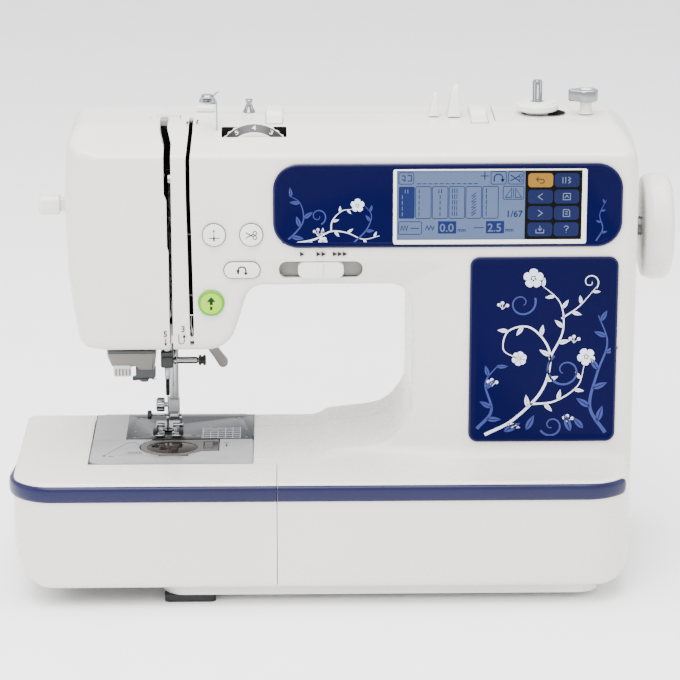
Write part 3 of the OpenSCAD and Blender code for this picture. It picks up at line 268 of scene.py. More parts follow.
# Acetal and glass-filled nylon: dull grey and black mouldings
ACETAL_GREY = Finish("acetal_grey", "817E79", "797571", 0.42, level=0.35, cell_mm=0.5, depth_mm=0.008)
NYLON_BLACK = Finish("nylon_black", "111113", "171719", 0.4, cell_mm=0.4, depth_mm=0.01)
NYLON_GREY = Finish("nylon_slate", "3B3E41", "343639", 0.45, cell_mm=0.4, depth_mm=0.01)
# Tinted polycarbonate key, lit through
PC_LIME = Finish(
    "polycarbonate_lime", "8FC018", "82B212", 0.26, level=0.25, coat=0.1, cell_mm=2.0, depth_mm=0.004,
    glow=0.25,
)
# The same polycarbonate painted a deeper green: painted shade on the start key's sloped rim
LIME_RIM_SHADE = Finish("polycarbonate_lime_painted_shade", "4E9E14", "479312", 0.3, level=0.2, cell_mm=2.0, depth_mm=0.004)
INK_GREEN = Finish("ink_green", "03350A", "022D08", 0.35, level=0.1, cell_mm=0.6, depth_mm=0.003)
# Liquid crystal under glass: pale blue-grey
LCD_FIELD = Finish("lcd_field", "47556F", "43516B", 0.16, level=0.1, cell_mm=0.5, depth_mm=0.002)
LCD_INK = Finish("lcd_ink", "0E1A49", "0C1743", 0.25, level=0.1, cell_mm=0.5, depth_mm=0.002)
LCD_TINT = Finish("lcd_tint", "616C89", "5B6783", 0.22, level=0.1, cell_mm=0.5, depth_mm=0.002)
KEY_NAVY = Finish("touch_key_navy", "0B153D", "091237", 0.3, level=0.1, cell_mm=0.8, depth_mm=0.003)
KEY_AMBER = Finish("touch_key_amber", "825F20", "7B581B", 0.3, level=0.1, cell_mm=0.8, depth_mm=0.003)
KEY_BLACK = Finish("touch_field_black", "040406", "030304", 0.14, level=0.05, cell_mm=1.0, depth_mm=0.002)
# Chrome-plated steel: near mirror with faint polishing lines
CHROME = Finish(
    "chrome_plated_steel", "949698", "84878A", 0.12, metal=1.0, cell_mm=0.5, depth_mm=0.002, spread=0.05,
)
CHROME_DARK = Finish("blackened_steel", "2A2B2D", "222324", 0.28, metal=0.9, cell_mm=0.5, depth_mm=0.003)
# Stainless sheet, brushed left to right
STAINLESS = Finish(
    "stainless_brushed", "4E5153", "484B4E", 0.3, metal=0.85, grain=Grain.BRUSHED_X, cell_mm=0.25,
    depth_mm=0.004, spread=0.08,
)
STEEL_GROUND = Finish("steel_ground", "6C6E70", "606164", 0.28, metal=1.0, cell_mm=0.3, depth_mm=0.004)
ALU_CAST = Finish("aluminium_die_cast", "7E7F82", "717276", 0.48, metal=0.85, cell_mm=0.8, depth_mm=0.03)
# Painted sheet of the slide-on plate: warm silver
PLATE_SILVER = Finish("plate_silver_lacquer", "9A999B", "949395", 0.3, metal=0.3, cell_mm=0.4, depth_mm=0.004)
# Smoked polycarbonate window
PC_SMOKE = Finish(
    "polycarbonate_smoke", "33261E", "2B2019", 0.08, level=0.4, clear=0.45, ior=1.16, cell_mm=3.0,
    depth_mm=0.002,
)
# Frosted rim of the same cover
PC_FROST = Finish(
    "polycarbonate_frosted", "5C5A57", "555350", 0.3, level=0.4, clear=0.08, ior=1.16, cell_mm=1.0,
    depth_mm=0.004,
)
PC_CLEAR = Finish(
    "polycarbonate_clear", "DCE6EE", "D2DDE8", 0.08, clear=0.6, ior=1.58, cell_mm=3.0, depth_mm=0.002,
)
RUBBER = Finish("rubber_black", "161718", "111112", 0.75, cell_mm=0.5, depth_mm=0.02)
BOARD = Finish("circuit_board_green", "154426", "10381F", 0.35, cell_mm=1.2, depth_mm=0.02)
LENS = Finish("lamp_lens", "F8F4E4", "F2EDD8", 0.25, cell_mm=1.0, depth_mm=0.01, glow=0.4)
# Near-black finish that paints shade: in gaps, at slot ends and behind the thread slots
SHADOW = Finish("painted_shade_dark", "060606", "040404", 0.7, level=0.1, cell_mm=0.8, depth_mm=0.01)
THREAD = Finish("cotton_thread", "371E18", "2D1813", 0.8, cell_mm=0.3, depth_mm=0.05)
PAPER = Finish("paper_white", "FBFBFB", "F8F8F8", 0.7, cell_mm=2.0, depth_mm=0.01)


# ---- Outlines and smooth solid forms ----


def arc_corner(a: Sequence[float], b: Sequence[float], c: Sequence[float], step: float) -> list[Point2]:
    """Replaces corner b of the path a-b-c by an arc.

    Args:
        a: point before the corner.
        b: the corner and, if it has a third number, its radius.
        c: point after the corner.
        step: degrees between points of the arc.

    Returns:
        Points of the arc, or the corner itself where it has no radius.
    """
    radius = b[2] if len(b) > 2 else 0.0
    if radius <= 0:
        return [(b[0], b[1])]
    here = np.array(b[:2], float)
    to_a = np.array(a[:2], float) - here
    to_c = np.array(c[:2], float) - here
    to_a /= np.linalg.norm(to_a)
    to_c /= np.linalg.norm(to_c)
    half = math.acos(max(-1.0, min(1.0, float(to_a @ to_c)))) / 2
    middle = to_a + to_c
    centre = here + middle / np.linalg.norm(middle) * radius / math.sin(half)
    start = here + to_a * radius / math.tan(half) - centre
    end = here + to_c * radius / math.tan(half) - centre
    first = math.atan2(start[1], start[0])
    sweep = (math.atan2(end[1], end[0]) - first + math.pi) % (2 * math.pi) - math.pi
    count = max(2, math.ceil(abs(math.degrees(sweep)) / step))
    return [
        (
            centre[0] + radius * math.cos(first + sweep * i / count),
            centre[1] + radius * math.sin(first + sweep * i / count),
        )
        for i in range(count + 1)
    ]


def rounded(points: Sequence[Sequence[float]], step: float = 6.0) -> list[Point2]:
    """Closed outline whose corners are rounded by their own radii."""
    size = len(points)
    return [
        q
        for i in range(size)
        for q in arc_corner(points[i - 1], points[i], points[(i + 1) % size], step)
    ]


def pad(x0: float, y0: float, x1: float, y1: float, radius: float, step: float = 9.0) -> list[Point2]:
    """Rectangle with round corners."""
    return rounded([(x0, y0, radius), (x1, y0, radius), (x1, y1, radius), (x0, y1, radius)], step)


def ring(x: float, y: float, radius: float, count: int = 48) -> list[Point2]:
    """Circle as a list of points."""
    return [
        (x + radius * math.cos(2 * math.pi * i / count), y + radius * math.sin(2 * math.pi * i / count))
        for i in range(count)
    ]


class Distance:
    """Signed distance to an outline, kept on a one-millimetre table."""

    def __init__(self, points: Sequence[Sequence[float]]) -> None:
        """Fills the table.

        Args:
            points: corners with radii; inside is negative.
        """
        line = np.array(rounded(points, 4.0))
        self.low = line.min(0) - 30
        size = np.ceil(line.max(0) + 30 - self.low).astype(int) + 1
        u = self.low[0] + np.arange(size[0])
        v = self.low[1] + np.arange(size[1])
        grid = np.stack(np.meshgrid(u, v, indexing="ij"), -1)
        best = np.full(grid.shape[:2], 1e9)
        inside = np.zeros(grid.shape[:2], bool)
        for p, q in zip(line, np.roll(line, -1, 0)):
            span = q - p
            t = np.clip(((grid - p) @ span) / max(span @ span, 1e-12), 0, 1)
            best = np.minimum(best, np.linalg.norm(grid - p - t[..., None] * span, axis=-1))
            if p[1] != q[1]:
                cross = (p[1] > grid[..., 1]) != (q[1] > grid[..., 1])
                at = p[0] + (grid[..., 1] - p[1]) / (q[1] - p[1]) * span[0]
                inside ^= cross & (grid[..., 0] < at)
        self.table = np.where(inside, -best, best)

    def __call__(self, u: Array, v: Array) -> Array:
        """Distance at points, read between the table's values."""
        a = np.clip(u - self.low[0], 0, self.table.shape[0] - 1.001)
        b = np.clip(v - self.low[1], 0, self.table.shape[1] - 1.001)
        i, j = a.astype(int), b.astype(int)
        f, g = a - i, b - j
        t = self.table
        return (
            t[i, j] * (1 - f) * (1 - g) + t[i + 1, j] * f * (1 - g) + t[i, j + 1] * (1 - f) * g
            + t[i + 1, j + 1] * f * g
        )


def both(a: Array, b: Array, soft: float | Array) -> Array:
    """Distance to what two forms share, with the edge softened."""
    near = np.maximum(soft - np.abs(a - b), 0) / np.maximum(soft, 1e-6)
    return np.maximum(a, b) + near * near * soft / 4


def either(a: Array, b: Array, soft: float | Array) -> Array:
    """Distance to two forms together, with a fillet between them."""
    return -both(-a, -b, soft)


Form = Callable[[Array, Array, Array], Array]


def skin(form: Form, axes: tuple[Array, Array, Array], level: float = 0.0) -> tuple[Array, Array]:
    """Meshes the surface of a form on a grid of uneven spacing.

    Args:
        form: signed distance at points.
        axes: grid lines along x, y and z.
        level: distance at which the surface lies.

    Returns:
        Points, and faces of four points with their normals outwards.
    """
    x, y, z = axes
    field_ = form(x[:, None, None], y[None, :, None], z[None, None, :]) - level
    solid = field_ < 0
    total = np.zeros(tuple(n - 1 for n in field_.shape))
    centre = np.zeros(total.shape + (3,))
    line = [x, y, z]
    for axis in range(3):
        lo = [slice(None)] * 3
        hi = [slice(None)] * 3
        lo[axis], hi[axis] = slice(0, -1), slice(1, None)
        a, b = field_[tuple(lo)], field_[tuple(hi)]
        change = solid[tuple(lo)] != solid[tuple(hi)]
        t = np.where(change, a / np.where(change, a - b, 1), 0)
        others = [k for k in range(3) if k != axis]
        for p in (0, 1):
            for q in (0, 1):
                cut = [slice(None)] * 3
                cut[others[0]] = slice(p, None if p else -1)
                cut[others[1]] = slice(q, None if q else -1)
                c, s = change[tuple(cut)], t[tuple(cut)]
                total += c
                for k in range(3):
                    shape = [1, 1, 1]
                    shape[k] = -1
                    if k == axis:
                        base = line[k][:-1].reshape(shape)
                        step = np.diff(line[k]).reshape(shape)
                        centre[..., k] += np.where(c, base + s * step, 0)
                    else:
                        offset = p if k == others[0] else q
                        edge = line[k][offset : offset + total.shape[k]].reshape(shape)
                        centre[..., k] += np.where(c, edge, 0)
    active = total > 0
    index = np.full(total.shape, -1)
    index[active] = np.arange(active.sum())
    points = centre[active] / total[active][:, None]
    faces = []
    for axis in range(3):
        lo = [slice(1, -1)] * 3
        hi = [slice(1, -1)] * 3
        lo[axis], hi[axis] = slice(0, -1), slice(1, None)
        a, b = solid[tuple(lo)], solid[tuple(hi)]
        for first, turn in ((a & ~b, False), (~a & b, True)):
            where = np.argwhere(first)
            if not len(where):
                continue
            cell = where.copy()
            others = [k for k in range(3) if k != axis]
            corner = []
            for p, q in ((0, 0), (1, 0), (1, 1), (0, 1)):
                c = cell.copy()
                c[:, others[0]] += p
                c[:, others[1]] += q
                corner.append(index[c[:, 0], c[:, 1], c[:, 2]])
            quad = np.stack(corner, 1)
            if turn != (axis == 1):
                quad = quad[:, ::-1]
            faces.append(quad)
    for _ in range(3):
        here = form(points[:, 0], points[:, 1], points[:, 2]) - level
        slope = np.stack(
            [
                (
                    form(*(points + np.eye(3)[k] * 0.4).T) - form(*(points - np.eye(3)[k] * 0.4).T)
                ) / 0.8
                for k in range(3)
            ],
            1,
        )
        size = np.maximum((slope**2).sum(1), 0.25)
        points = points - slope * (np.clip(here, -1.0, 1.0) / size)[:, None]
    return points, np.concatenate(faces)


def lines(spans: Sequence[tuple[float, float]], low: float, high: float, coarse: float, fine: float) -> Array:
    """Grid lines from low to high, closer together inside the spans."""
    out = [low]
    while out[-1] < high:
        here = out[-1]
        near = any(a - coarse <= here <= b for a, b in spans)
        out.append(here + (fine if near else coarse))
    return np.array(out)


# ---- Mesh pieces ----


class Plane(Enum):
    """Plane that an outline lies in; the third axis is the one it is pushed along."""

    XZ = "y"
    YZ = "x"
    XY = "z"


XZ, YZ, XY = Plane


def lift(points: Array, plane: Plane, depth: Array | float) -> Array:
    """Puts points of an outline into space.

    Args:
        points: the outline's points.
        plane: plane that they lie in.
        depth: place along the third axis.

    Returns:
        Points in space.
    """
    u, v = points[:, 0], points[:, 1]
    w = np.broadcast_to(depth, u.shape)
    order = {XZ: (u, w, v), YZ: (w, u, v), XY: (u, v, w)}[plane]
    return np.stack(order, 1)


def to_mesh(name: str, points: Array, faces: Sequence[Sequence[int]]) -> Piece:
    """Makes an object from points in millimetres, with its normals set outwards."""
    mesh = bpy.data.meshes.new(name)
    mesh.from_pydata((np.asarray(points, float) * MM).tolist(), [], [list(map(int, f)) for f in faces])
    mesh.validate()
    made = bpy.data.objects.new(name, mesh)
    bpy.context.scene.collection.objects.link(made)
    return made


def paint(made: Piece, finish: Finish) -> Piece:
    """Gives a part of a piece its material."""
    made.data.materials.append(finish.build())
    return made


def outward(made: Piece) -> Piece:
    """Turns the faces' normals outwards."""
    work = bmesh.new()
    work.from_mesh(made.data)
    bmesh.ops.recalc_face_normals(work, faces=work.faces)
    work.to_mesh(made.data)
    work.free()
    return made


def loft(name: str, loops: Sequence[Array], closed: bool = False) -> Piece:
    """Joins loops of equal length into a skin, capped at both ends unless closed."""
    size = len(loops[0])
    count = len(loops)
    points = np.concatenate(loops)
    faces: list[list[int]] = []
    for i in range(count if closed else count - 1):
        a, b = i * size, ((i + 1) % count) * size
        faces += [[a + j, a + (j + 1) % size, b + (j + 1) % size, b + j] for j in range(size)]
    if not closed:
        faces += [list(range(size))[::-1], list(range((count - 1) * size, count * size))]
    return outward(to_mesh(name, points, faces))


def inset(points: Sequence[Point2], distance: float) -> Array:
    """Outline moved inwards by a distance, or outwards where it is negative."""
    p = np.array(points, float)
    area = 0.5 * np.sum(p[:, 0] * np.roll(p[:, 1], -1) - np.roll(p[:, 0], -1) * p[:, 1])
    along = np.roll(p, -1, 0) - p
    along /= np.maximum(np.linalg.norm(along, axis=1), 1e-9)[:, None]
    normal = np.stack([-along[:, 1], along[:, 0]], 1) * np.sign(area)
    before = np.roll(normal, 1, 0)
    middle = normal + before
    middle /= np.maximum(np.linalg.norm(middle, axis=1), 1e-9)[:, None]
    reach = distance / np.maximum((middle * normal).sum(1), 0.3)
    return p + middle * reach[:, None]


def slab(
    name: str, outline: Sequence[Point2], plane: Plane, low: float, high: float,
    edge_low: float = 0.0, edge_high: float = 0.0, steps: int = 3,
) -> Piece:
    """Outline pushed from low to high, with rounded rims.

    Args:
        name: name of the object.
        outline: points of the outline.
        plane: plane that it lies in.
        low: first end along the third axis.
        high: other end.
        edge_low: rounding at the first end; a negative one flares outwards.
        edge_high: rounding at the other end.
        steps: loops in each rounding.

    Returns:
        The object.
    """
    loops = []
    for end, edge, sign in ((low, edge_low, 1), (high, edge_high, -1)):
        part = []
        if edge:
            size = abs(edge)
            for i in range(steps + 1):
                angle = math.pi / 2 * i / steps
                shrink = edge * (1 - math.sin(angle))
                part.append(lift(inset(outline, shrink), plane, end + sign * size * (1 - math.cos(angle))))
        else:
            part.append(lift(np.array(outline, float), plane, end))
        loops += part if sign > 0 else part[::-1]
    return loft(name, loops)


def turned(
    name: str, profile: Sequence[Point2], axis: Plane, at: Point2, count: int = 64,
) -> Piece:
    """Turns a profile around an axis.

    Args:
        name: name of the object.
        profile: radius and place along the axis, from one end to the other.
        axis: the plane that the axis stands on.
        at: where the axis is in that plane.
        count: sides of each circle.

    Returns:
        The object.
    """
    loops = [lift(np.array(ring(at[0], at[1], max(r, 0.01), count)), axis, t) for r, t in profile]
    return loft(name, loops)


def knurled(
    name: str, stations: Sequence[Point3], axis: Plane, at: Point2, count: int, depth: float,
) -> Piece:
    """Turns a profile whose rim is ribbed.

    Args:
        name: name of the object.
        stations: place along the axis, radius, and how much of the ribs' depth there is.
        axis: the plane that the axis stands on.
        at: where the axis is in that plane.
        count: sides of each circle; four sides make one rib and one groove.
        depth: depth of the grooves.

    Returns:
        The object.
    """
    angle = np.arange(count) * 2 * math.pi / count
    groove = np.where(np.arange(count) % 4 < 2, 0.0, -depth)
    loops = []
    for along, radius, share in stations:
        reach = radius + groove * share
        flat = np.stack([at[0] + reach * np.cos(angle), at[1] + reach * np.sin(angle)], 1)
        loops.append(lift(flat, axis, along))
    return loft(name, loops)


def tube(name: str, path: Sequence[Point3], radius: float | Sequence[float], sides: int = 12) -> Piece:
    """Round rod along a path, with a radius at each point."""
    p = np.array(path, float)
    radii = np.broadcast_to(np.array(radius, float), (len(p),))
    along = np.gradient(p, axis=0)
    along /= np.linalg.norm(along, axis=1)[:, None]
    side = np.cross(along[0], [0.0, 0.0, 1.0])
    if np.linalg.norm(side) < 0.1:
        side = np.cross(along[0], [1.0, 0.0, 0.0])
    loops = []
    for here, way, r in zip(p, along, radii):
        side = side - way * (side @ way)
        side /= np.linalg.norm(side)
        up = np.cross(way, side)
        angles = np.arange(sides) * 2 * math.pi / sides
        loops.append(here + r * (np.cos(angles)[:, None] * side + np.sin(angles)[:, None] * up))
    return loft(name, loops)


def smooth_path(points: Sequence[Sequence[float]], per: int = 8) -> Array:
    """Smooth curve through the points."""
    p = np.array(points, float)
    ends = np.concatenate([[2 * p[0] - p[1]], p, [2 * p[-1] - p[-2]]])
    out = []
    for i in range(1, len(ends) - 2):
        a, b, c, d = ends[i - 1 : i + 3]
        for k in range(per):
            t = k / per
            out.append(
                0.5 * (
                    2 * b + (c - a) * t + (2 * a - 5 * b + 4 * c - d) * t * t + (
                        3 * b - a - 3 * c + d
                    ) * t**3
                )
            )
    out.append(p[-1])
    return np.array(out)


def cut(target: Piece, tool: Piece | Sequence[Piece], how: str = "DIFFERENCE") -> None:
    """Cuts, joins or trims a closed mesh by others, which are used up.

    Args:
        target: mesh that is changed.
        tool: one cutter, or several that don't touch each other.
        how: name of the operation.
    """
    tools = [tool] if isinstance(tool, Piece) else list(tool)
    work = bmesh.new()
    for one in tools:
        work.from_mesh(one.data)
    merged = bpy.data.meshes.new("cutter")
    work.to_mesh(merged)
    work.free()
    helper = bpy.data.objects.new("cutter", merged)
    bpy.context.scene.collection.objects.link(helper)
    step = target.modifiers.new("cut", "BOOLEAN")
    step.operation = how
    step.solver = "MANIFOLD"
    step.object = helper
    bake(target)
    bpy.data.objects.remove(helper)
    for one in tools:
        bpy.data.objects.remove(one)


def bake(made: Piece) -> None:
    """Applies the object's modifiers to its mesh, and drops slots that hold no material."""
    graph = bpy.context.evaluated_depsgraph_get()
    graph.update()
    mesh = bpy.data.meshes.new_from_object(made.evaluated_get(graph))
    real = list(dict.fromkeys(m for m in mesh.materials if m))
    order = np.array([real.index(m) if m else 0 for m in mesh.materials] or [0], np.int32)
    index = np.zeros(len(mesh.polygons), np.int32)
    mesh.polygons.foreach_get("material_index", index)
    mesh.materials.clear()
    for material in real:
        mesh.materials.append(material)
    mesh.polygons.foreach_set("material_index", order[np.minimum(index, len(order) - 1)])
    made.modifiers.clear()
    made.data = mesh


def merge(name: str, parts: Sequence[Piece]) -> Piece:
    """Joins meshes into one object, each keeping its materials."""
    slots: list[bpy.types.Material] = []
    work = bmesh.new()
    for part in parts:
        numbers = []
        for material in part.data.materials:
            if material not in slots:
                slots.append(material)
            numbers.append(slots.index(material))
        start = len(work.faces)
        work.from_mesh(part.data)
        work.faces.ensure_lookup_table()
        for face in work.faces[start:]:
            face.material_index = numbers[face.material_index] if numbers else 0
    mesh = bpy.data.meshes.new(name)
    for material in slots:
        mesh.materials.append(material)
    work.to_mesh(mesh)
    work.free()
    for part in parts:
        bpy.data.objects.remove(part)
    made = bpy.data.objects.new(name, mesh)
    bpy.context.scene.collection.objects.link(made)
    return made


def dress(
    made: Piece, finish: Finish, body: str | None = ROOT, edge: float = 0.0, angle: float = 35.0,
) -> Piece:
    """Gives a piece its finish, shading and body.

    Args:
        made: the piece.
        finish: its finish, unless it has materials already.
        body: body that it moves with, or None for a part of a piece to be merged.
        edge: width of a bevel on its sharp edges, in millimetres.
        angle: edges sharper than this stay sharp, in degrees.

    Returns:
        The piece.
    """
    if not made.data.materials:
        paint(made, finish)
    if body:
        LOG.info("piece %s on %s in %s", made.name, body, finish.name)
    if edge:
        rim = made.modifiers.new("rim", "BEVEL")
        rim.width = edge * MM
        rim.segments = 2
        rim.limit_method = "ANGLE"
        rim.angle_limit = math.radians(angle)
        bake(made)
    for face in made.data.polygons:
        face.use_smooth = True
    made.data.set_sharp_from_angle(angle=math.radians(angle))
    if body is not None:
        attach(made, body)
    return made


# ---- Housing ----


@dataclass
class Housing:
    """White covers: base, column, arm and head, and the table that slides off."""

    outer_soft: float = 10.0
    base_soft: float = 5.0
    fillet: float = 15.0
    lap: float = 0.15
    base_xz: Distance = field(init=False)
    base_yz: Distance = field(init=False)
    base_xy: Distance = field(init=False)
    upper_xz: Distance = field(init=False)
    upper_yz: Distance = field(init=False)
    upper_xy: Distance = field(init=False)

    def __post_init__(self) -> None:
        """Fills the six distance tables."""
        p = AT
        self.base_xz = Distance(
            [(p.left, p.bed, 3), (p.left, p.skirt, 28), (p.right - 2, p.skirt, 28), (p.right, p.bed, 3)]
        )
        self.base_yz = Distance(
            [
                (p.base_front, p.bed, 5), (p.base_front, p.skirt, 5), (p.base_back, p.skirt, 4),
                (p.base_back, p.bed, 4),
            ]
        )
        self.base_xy = Distance(
            [
                (p.left, p.base_front, 27), (p.right - 13.5, p.base_front, 30), (p.right, 30, 80),
                (p.right, p.base_back, 22), (p.column - 6, p.base_back, 12), (p.column - 14, p.bed_back, 12),
                (p.left, p.bed_back, 8),
            ]
        )
        self.upper_xz = Distance(
            [
                (p.column - 49, p.bed - 20), (p.column - 49, p.bed - 0.5), (p.column - 15, p.bed + 6, 30),
                (p.column, p.bed + 26, 24), (p.column, p.under - 2.3, 14),
                (p.head_right, p.under - 2.3, 12), (p.head_right - 13, p.head_low, 19),
                (p.head_left + 8.5, p.head_low, 8), (p.head_left - 0.3, 198, 60),
                (p.head_left - 2.6, 245, 60), (p.head_left + 0.8, p.top - 12, 14),
                (p.head_left + 9, p.top, 12), (p.right - 21, p.top, 14), (p.right - 2, p.top - 18, 18),
                (p.right, p.top - 41, 30), (p.right, p.bed - 20),
            ]
        )
        self.upper_yz = Distance(
            [
                (p.face, p.bed - 30), (p.face, p.crease_high, 3), (p.slope, p.top, 40),
                (p.crest, p.top, 12), (p.back, p.brow, 16), (p.back, p.bed - 30),
            ]
        )
        self.upper_xy = Distance(
            [
                (p.head_left - 2.6, p.face, 34), (p.right - 8, p.face, 13), (p.right, 20, 60),
                (p.right, p.back, 24), (p.head_left - 2.6, p.back, 30),
            ]
        )

    def base(self, x: Array, y: Array, z: Array) -> Array:
        """Distance to the base and table together."""
        x, y, z = np.broadcast_arrays(x, y, z)
        low = both(self.base_xz(x, z), self.base_xy(x, y), self.base_soft)
        return both(low, self.base_yz(y, z), 1.5)

    def band(self, x: Array, y: Array, z: Array) -> Array:
        """Distance to the space in front of the bevelled band around the throat."""
        p = AT
        low, high = p.head_right + 8, p.column + 32
        middle = (20 * high + 32 * low) / 52
        down = (p.crease_low - z) * 7 / 16.5
        across = np.where(x > middle, (high - x) * 7 / 32, (x - low) * 7 / 20)
        depth = p.face + np.minimum(down, across)
        return np.maximum(y - depth, y - p.face - 40)

    def upper(self, x: Array, y: Array, z: Array) -> Array:
        """Distance to the column, arm and head."""
        p = AT
        x, y, z = np.broadcast_arrays(x, y, z)
        whole = both(self.upper_xz(x, z), self.upper_xy(x, y), self.outer_soft)
        whole = both(whole, self.upper_yz(y, z), 4.0)
        whole = both(whole, -self.band(x, y, z), 1.2)
        behind = np.maximum.reduce([x - p.column, p.bed_back - y, z - p.under + 30])
        return np.maximum(whole, -behind)

    def solid(self, x: Array, y: Array, z: Array) -> Array:
        """Distance to all the housing, with the fillet where the column stands on the bed."""
        x, y, z = np.broadcast_arrays(x, y, z)
        edge = np.clip((AT.right - 6 - x) / 22, 0.02, 1) * np.clip((70 - y) / 20, 0.1, 1)
        return either(self.base(x, y, z), self.upper(x, y, z), self.fillet * edge)

    def grid(self, fine: bool) -> tuple[Array, Array, Array]:
        """Grid lines: close together at the rounded edges, apart on the flat sides."""
        if not fine:
            return tuple(np.arange(a, b, 6.0) for a, b in ((-214, 200), (-102, 94), (6, 300)))
        x = lines([(-210, -182), (-176, -130), (-74, -50), (20, 60), (150, 192)], -211, 194, 3.6, 1.9)
        y = lines([(-97, -84), (-53, -30), (-14, -2), (36, 52), (56, 86)], -98, 88, 3.2, 1.4)
        z = lines([(10, 42), (76, 112), (150, 174), (186, 216), (272, 293)], 9, 295, 3.2, 1.5)
        return x, y, z

    def build(self) -> None:
        """Builds the covers and the table."""
        p = AT
        outer = to_mesh("outer", *skin(self.solid, self.grid(True)))
        inner = to_mesh("inner", *skin(self.solid, self.grid(False), -p.wall))
        base = to_mesh("base", *skin(self.base, self.grid(True)))
        hollow = to_mesh("hollow", *skin(self.base, self.grid(False), -p.wall))
        LOG.info("housing skins made")
        self._table(base, hollow)
        self._covers(outer, inner)

    def _table(self, base: Piece, hollow: Piece) -> None:
        """Cuts the table from the base form."""
        p = AT
        gap = 0.3 + self.lap

        def region(d: float) -> list[Point2]:
            return [
                (-230, -120), (p.seam_x - gap - d, -120), (p.seam_x - gap - d, p.arm_front - gap - d),
                (p.plate_left - gap - d, p.arm_front - gap - d), (p.plate_left - gap - d, 120), (-230, 120),
            ]

        cut(base, slab("keep", region(0), XY, 0, 120), "INTERSECT")
        cut(hollow, slab("keep", region(p.wall), XY, 0, 120), "INTERSECT")
        cut(base, hollow)
        mouth = [(-180, -88), (-44.9, -88), (-44.9, -58.1), (-163.9, -58.1), (-163.9, 44), (-180, 44)]
        cut(base, slab("mouth", mouth, XY, 5, 20))
        base.name = base.data.name = "table_shell"
        dress(base, ABS_WHITE, "table", 0.35, 40)
        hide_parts("extension_table")

    def _covers(self, outer: Piece, inner: Piece) -> None:
        """Cuts the front, rear and face covers and their openings."""
        p = AT

        def region(d: float) -> Piece:
            beside = [
                (p.seam_x + d, -120), (230, -120), (230, 120), (p.plate_right + d, 120),
                (p.plate_right + d, p.arm_front + d), (p.seam_x + d, p.arm_front + d),
            ]
            keep = slab("keep", beside, XY, 0, p.bed + 0.02)
            cut(keep, slab("above", pad(-230, -120, 230, 120, 0), XY, p.bed + 0.01, 330), "UNION")
            return keep

        cut(outer, region(0), "INTERSECT")
        cut(inner, region(p.wall), "INTERSECT")
        blank = self._copy(outer, "winder_blank")
        cut(blank, slab("keep", pad(96.12, -5.88, 145.88, 53.88, 1.4), XY, 282.5, 300), "INTERSECT")
        cut(inner, self._linings())
        cut(outer, inner)
        cut(outer, self._openings())
        cut(outer, self._slots())
        x = p.needle_x
        seam = [(-230, 0), (x + 5.0, 0), (x + 5.0, 283), (x + 0.9, 289), (x + 0.9, 330), (-230, 330)]
        face = self._copy(outer, "face_shell")
        rear = self._copy(outer, "rear_shell")
        cut(face, slab("keep", inset(seam, self.lap), XZ, -120, 120), "INTERSECT")
        cut(outer, slab("off", seam, XZ, -120, 120))
        whole = pad(-300, 0, 300, 400, 0)
        cut(outer, slab("off", whole, XZ, p.seam_y - self.lap, 120))
        cut(rear, slab("off", seam, XZ, -120, 120))
        cut(rear, slab("off", whole, XZ, -120, p.seam_y + self.lap))
        cut(
            rear,
            [
                slab(
                    "vent", pad(p.column + 60 + i * 9, p.bed - 42, p.column + 64 + i * 9, p.bed - 18, 1.9),
                    XZ, 70, 95,
                )
                for i in range(6)
            ],
        )
        for made, name, node in (
            (face, "face_shell", "face_cover"), (outer, "front_shell", "front_cover"),
            (rear, "rear_shell", "rear_cover"),
        ):
            made.name = made.data.name = name
            dress(made, ABS_WHITE, ROOT, 0.3, 40)
            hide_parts(node)
            LOG.info("%s: %d faces", name, len(made.data.polygons))

    def _copy(self, made: Piece, name: str) -> Piece:
        """Makes a second object with its own mesh."""
        twin = bpy.data.objects.new(name, made.data.copy())
        bpy.context.scene.collection.objects.link(twin)
        return twin

    def _linings(self) -> list[Piece]:
        """Solid blocks left behind the grooves of the top and the slider."""
        x, z = CONTROLS.slider
        fall = [(-14, 279.5), (AT.crest - 6, 279.5), (90, 247.2), (90, 300), (-14, 300)]
        blocks = [slab("b", fall, YZ, s - 8, s + 8) for s in HANDLE.straps]
        blocks.append(slab("b", pad(-15, 37.2, 68, 54.8, 0), XY, 278, 300))
        blocks.append(slab("b", pad(x - 28.5, z - 8, x + 28.5, z + 8, 3), XZ, -60, -41.2))
        blocks.append(slab("b", pad(-78.5, -32.5, -50.7, -13, 0), XY, 268, 300))
        return blocks

    def _openings(self) -> list[Piece]:
        """Cutters for the front face and the sides."""
        c = CONTROLS
        out = [
            slab("o", pad(*c.display, 16.3), XZ, -60, -42), slab("o", pad(*c.decor, 6.3), XZ, -60, -42),
            slab("o", c.oblong(c.reverse, 22.6, 10.6), XZ, -60, -42),
            slab(
                "o", pad(c.slider[0] - 26, c.slider[1] - 5.8, c.slider[0] + 26, c.slider[1] + 5.8, 5.0), XZ,
                -60, -38,
            ),
            slab("o", ring(*c.start, 8.3), XZ, -60, -42), slab("o", ring(*c.needle, 7.3), XZ, -60, -42),
            slab("o", ring(*c.cutter, 7.3), XZ, -60, -42),
            slab("o", pad(-151.5, -32, -79.5, 46, 0), XY, 150, 158),
            slab("o", pad(-3, 199.4, 3, 244.7, 2.8), YZ, -180, -168),
            turned("o", [(7.5, 180), (7.5, 195)], YZ, (AT.shaft_y, AT.shaft_z)),
            slab("o", pad(14, 41, 34, 65, 1.5), YZ, 182, 196),
            slab("o", pad(35, 41, 61, 65, 1.5), YZ, 182, 196),
            slab("o", pad(-40, -88, 140, 40, 0), XY, 5, 20),
            slab("o", pad(38, 40.01, 140, 78, 0), XY, 5, 20),
        ]
        return out

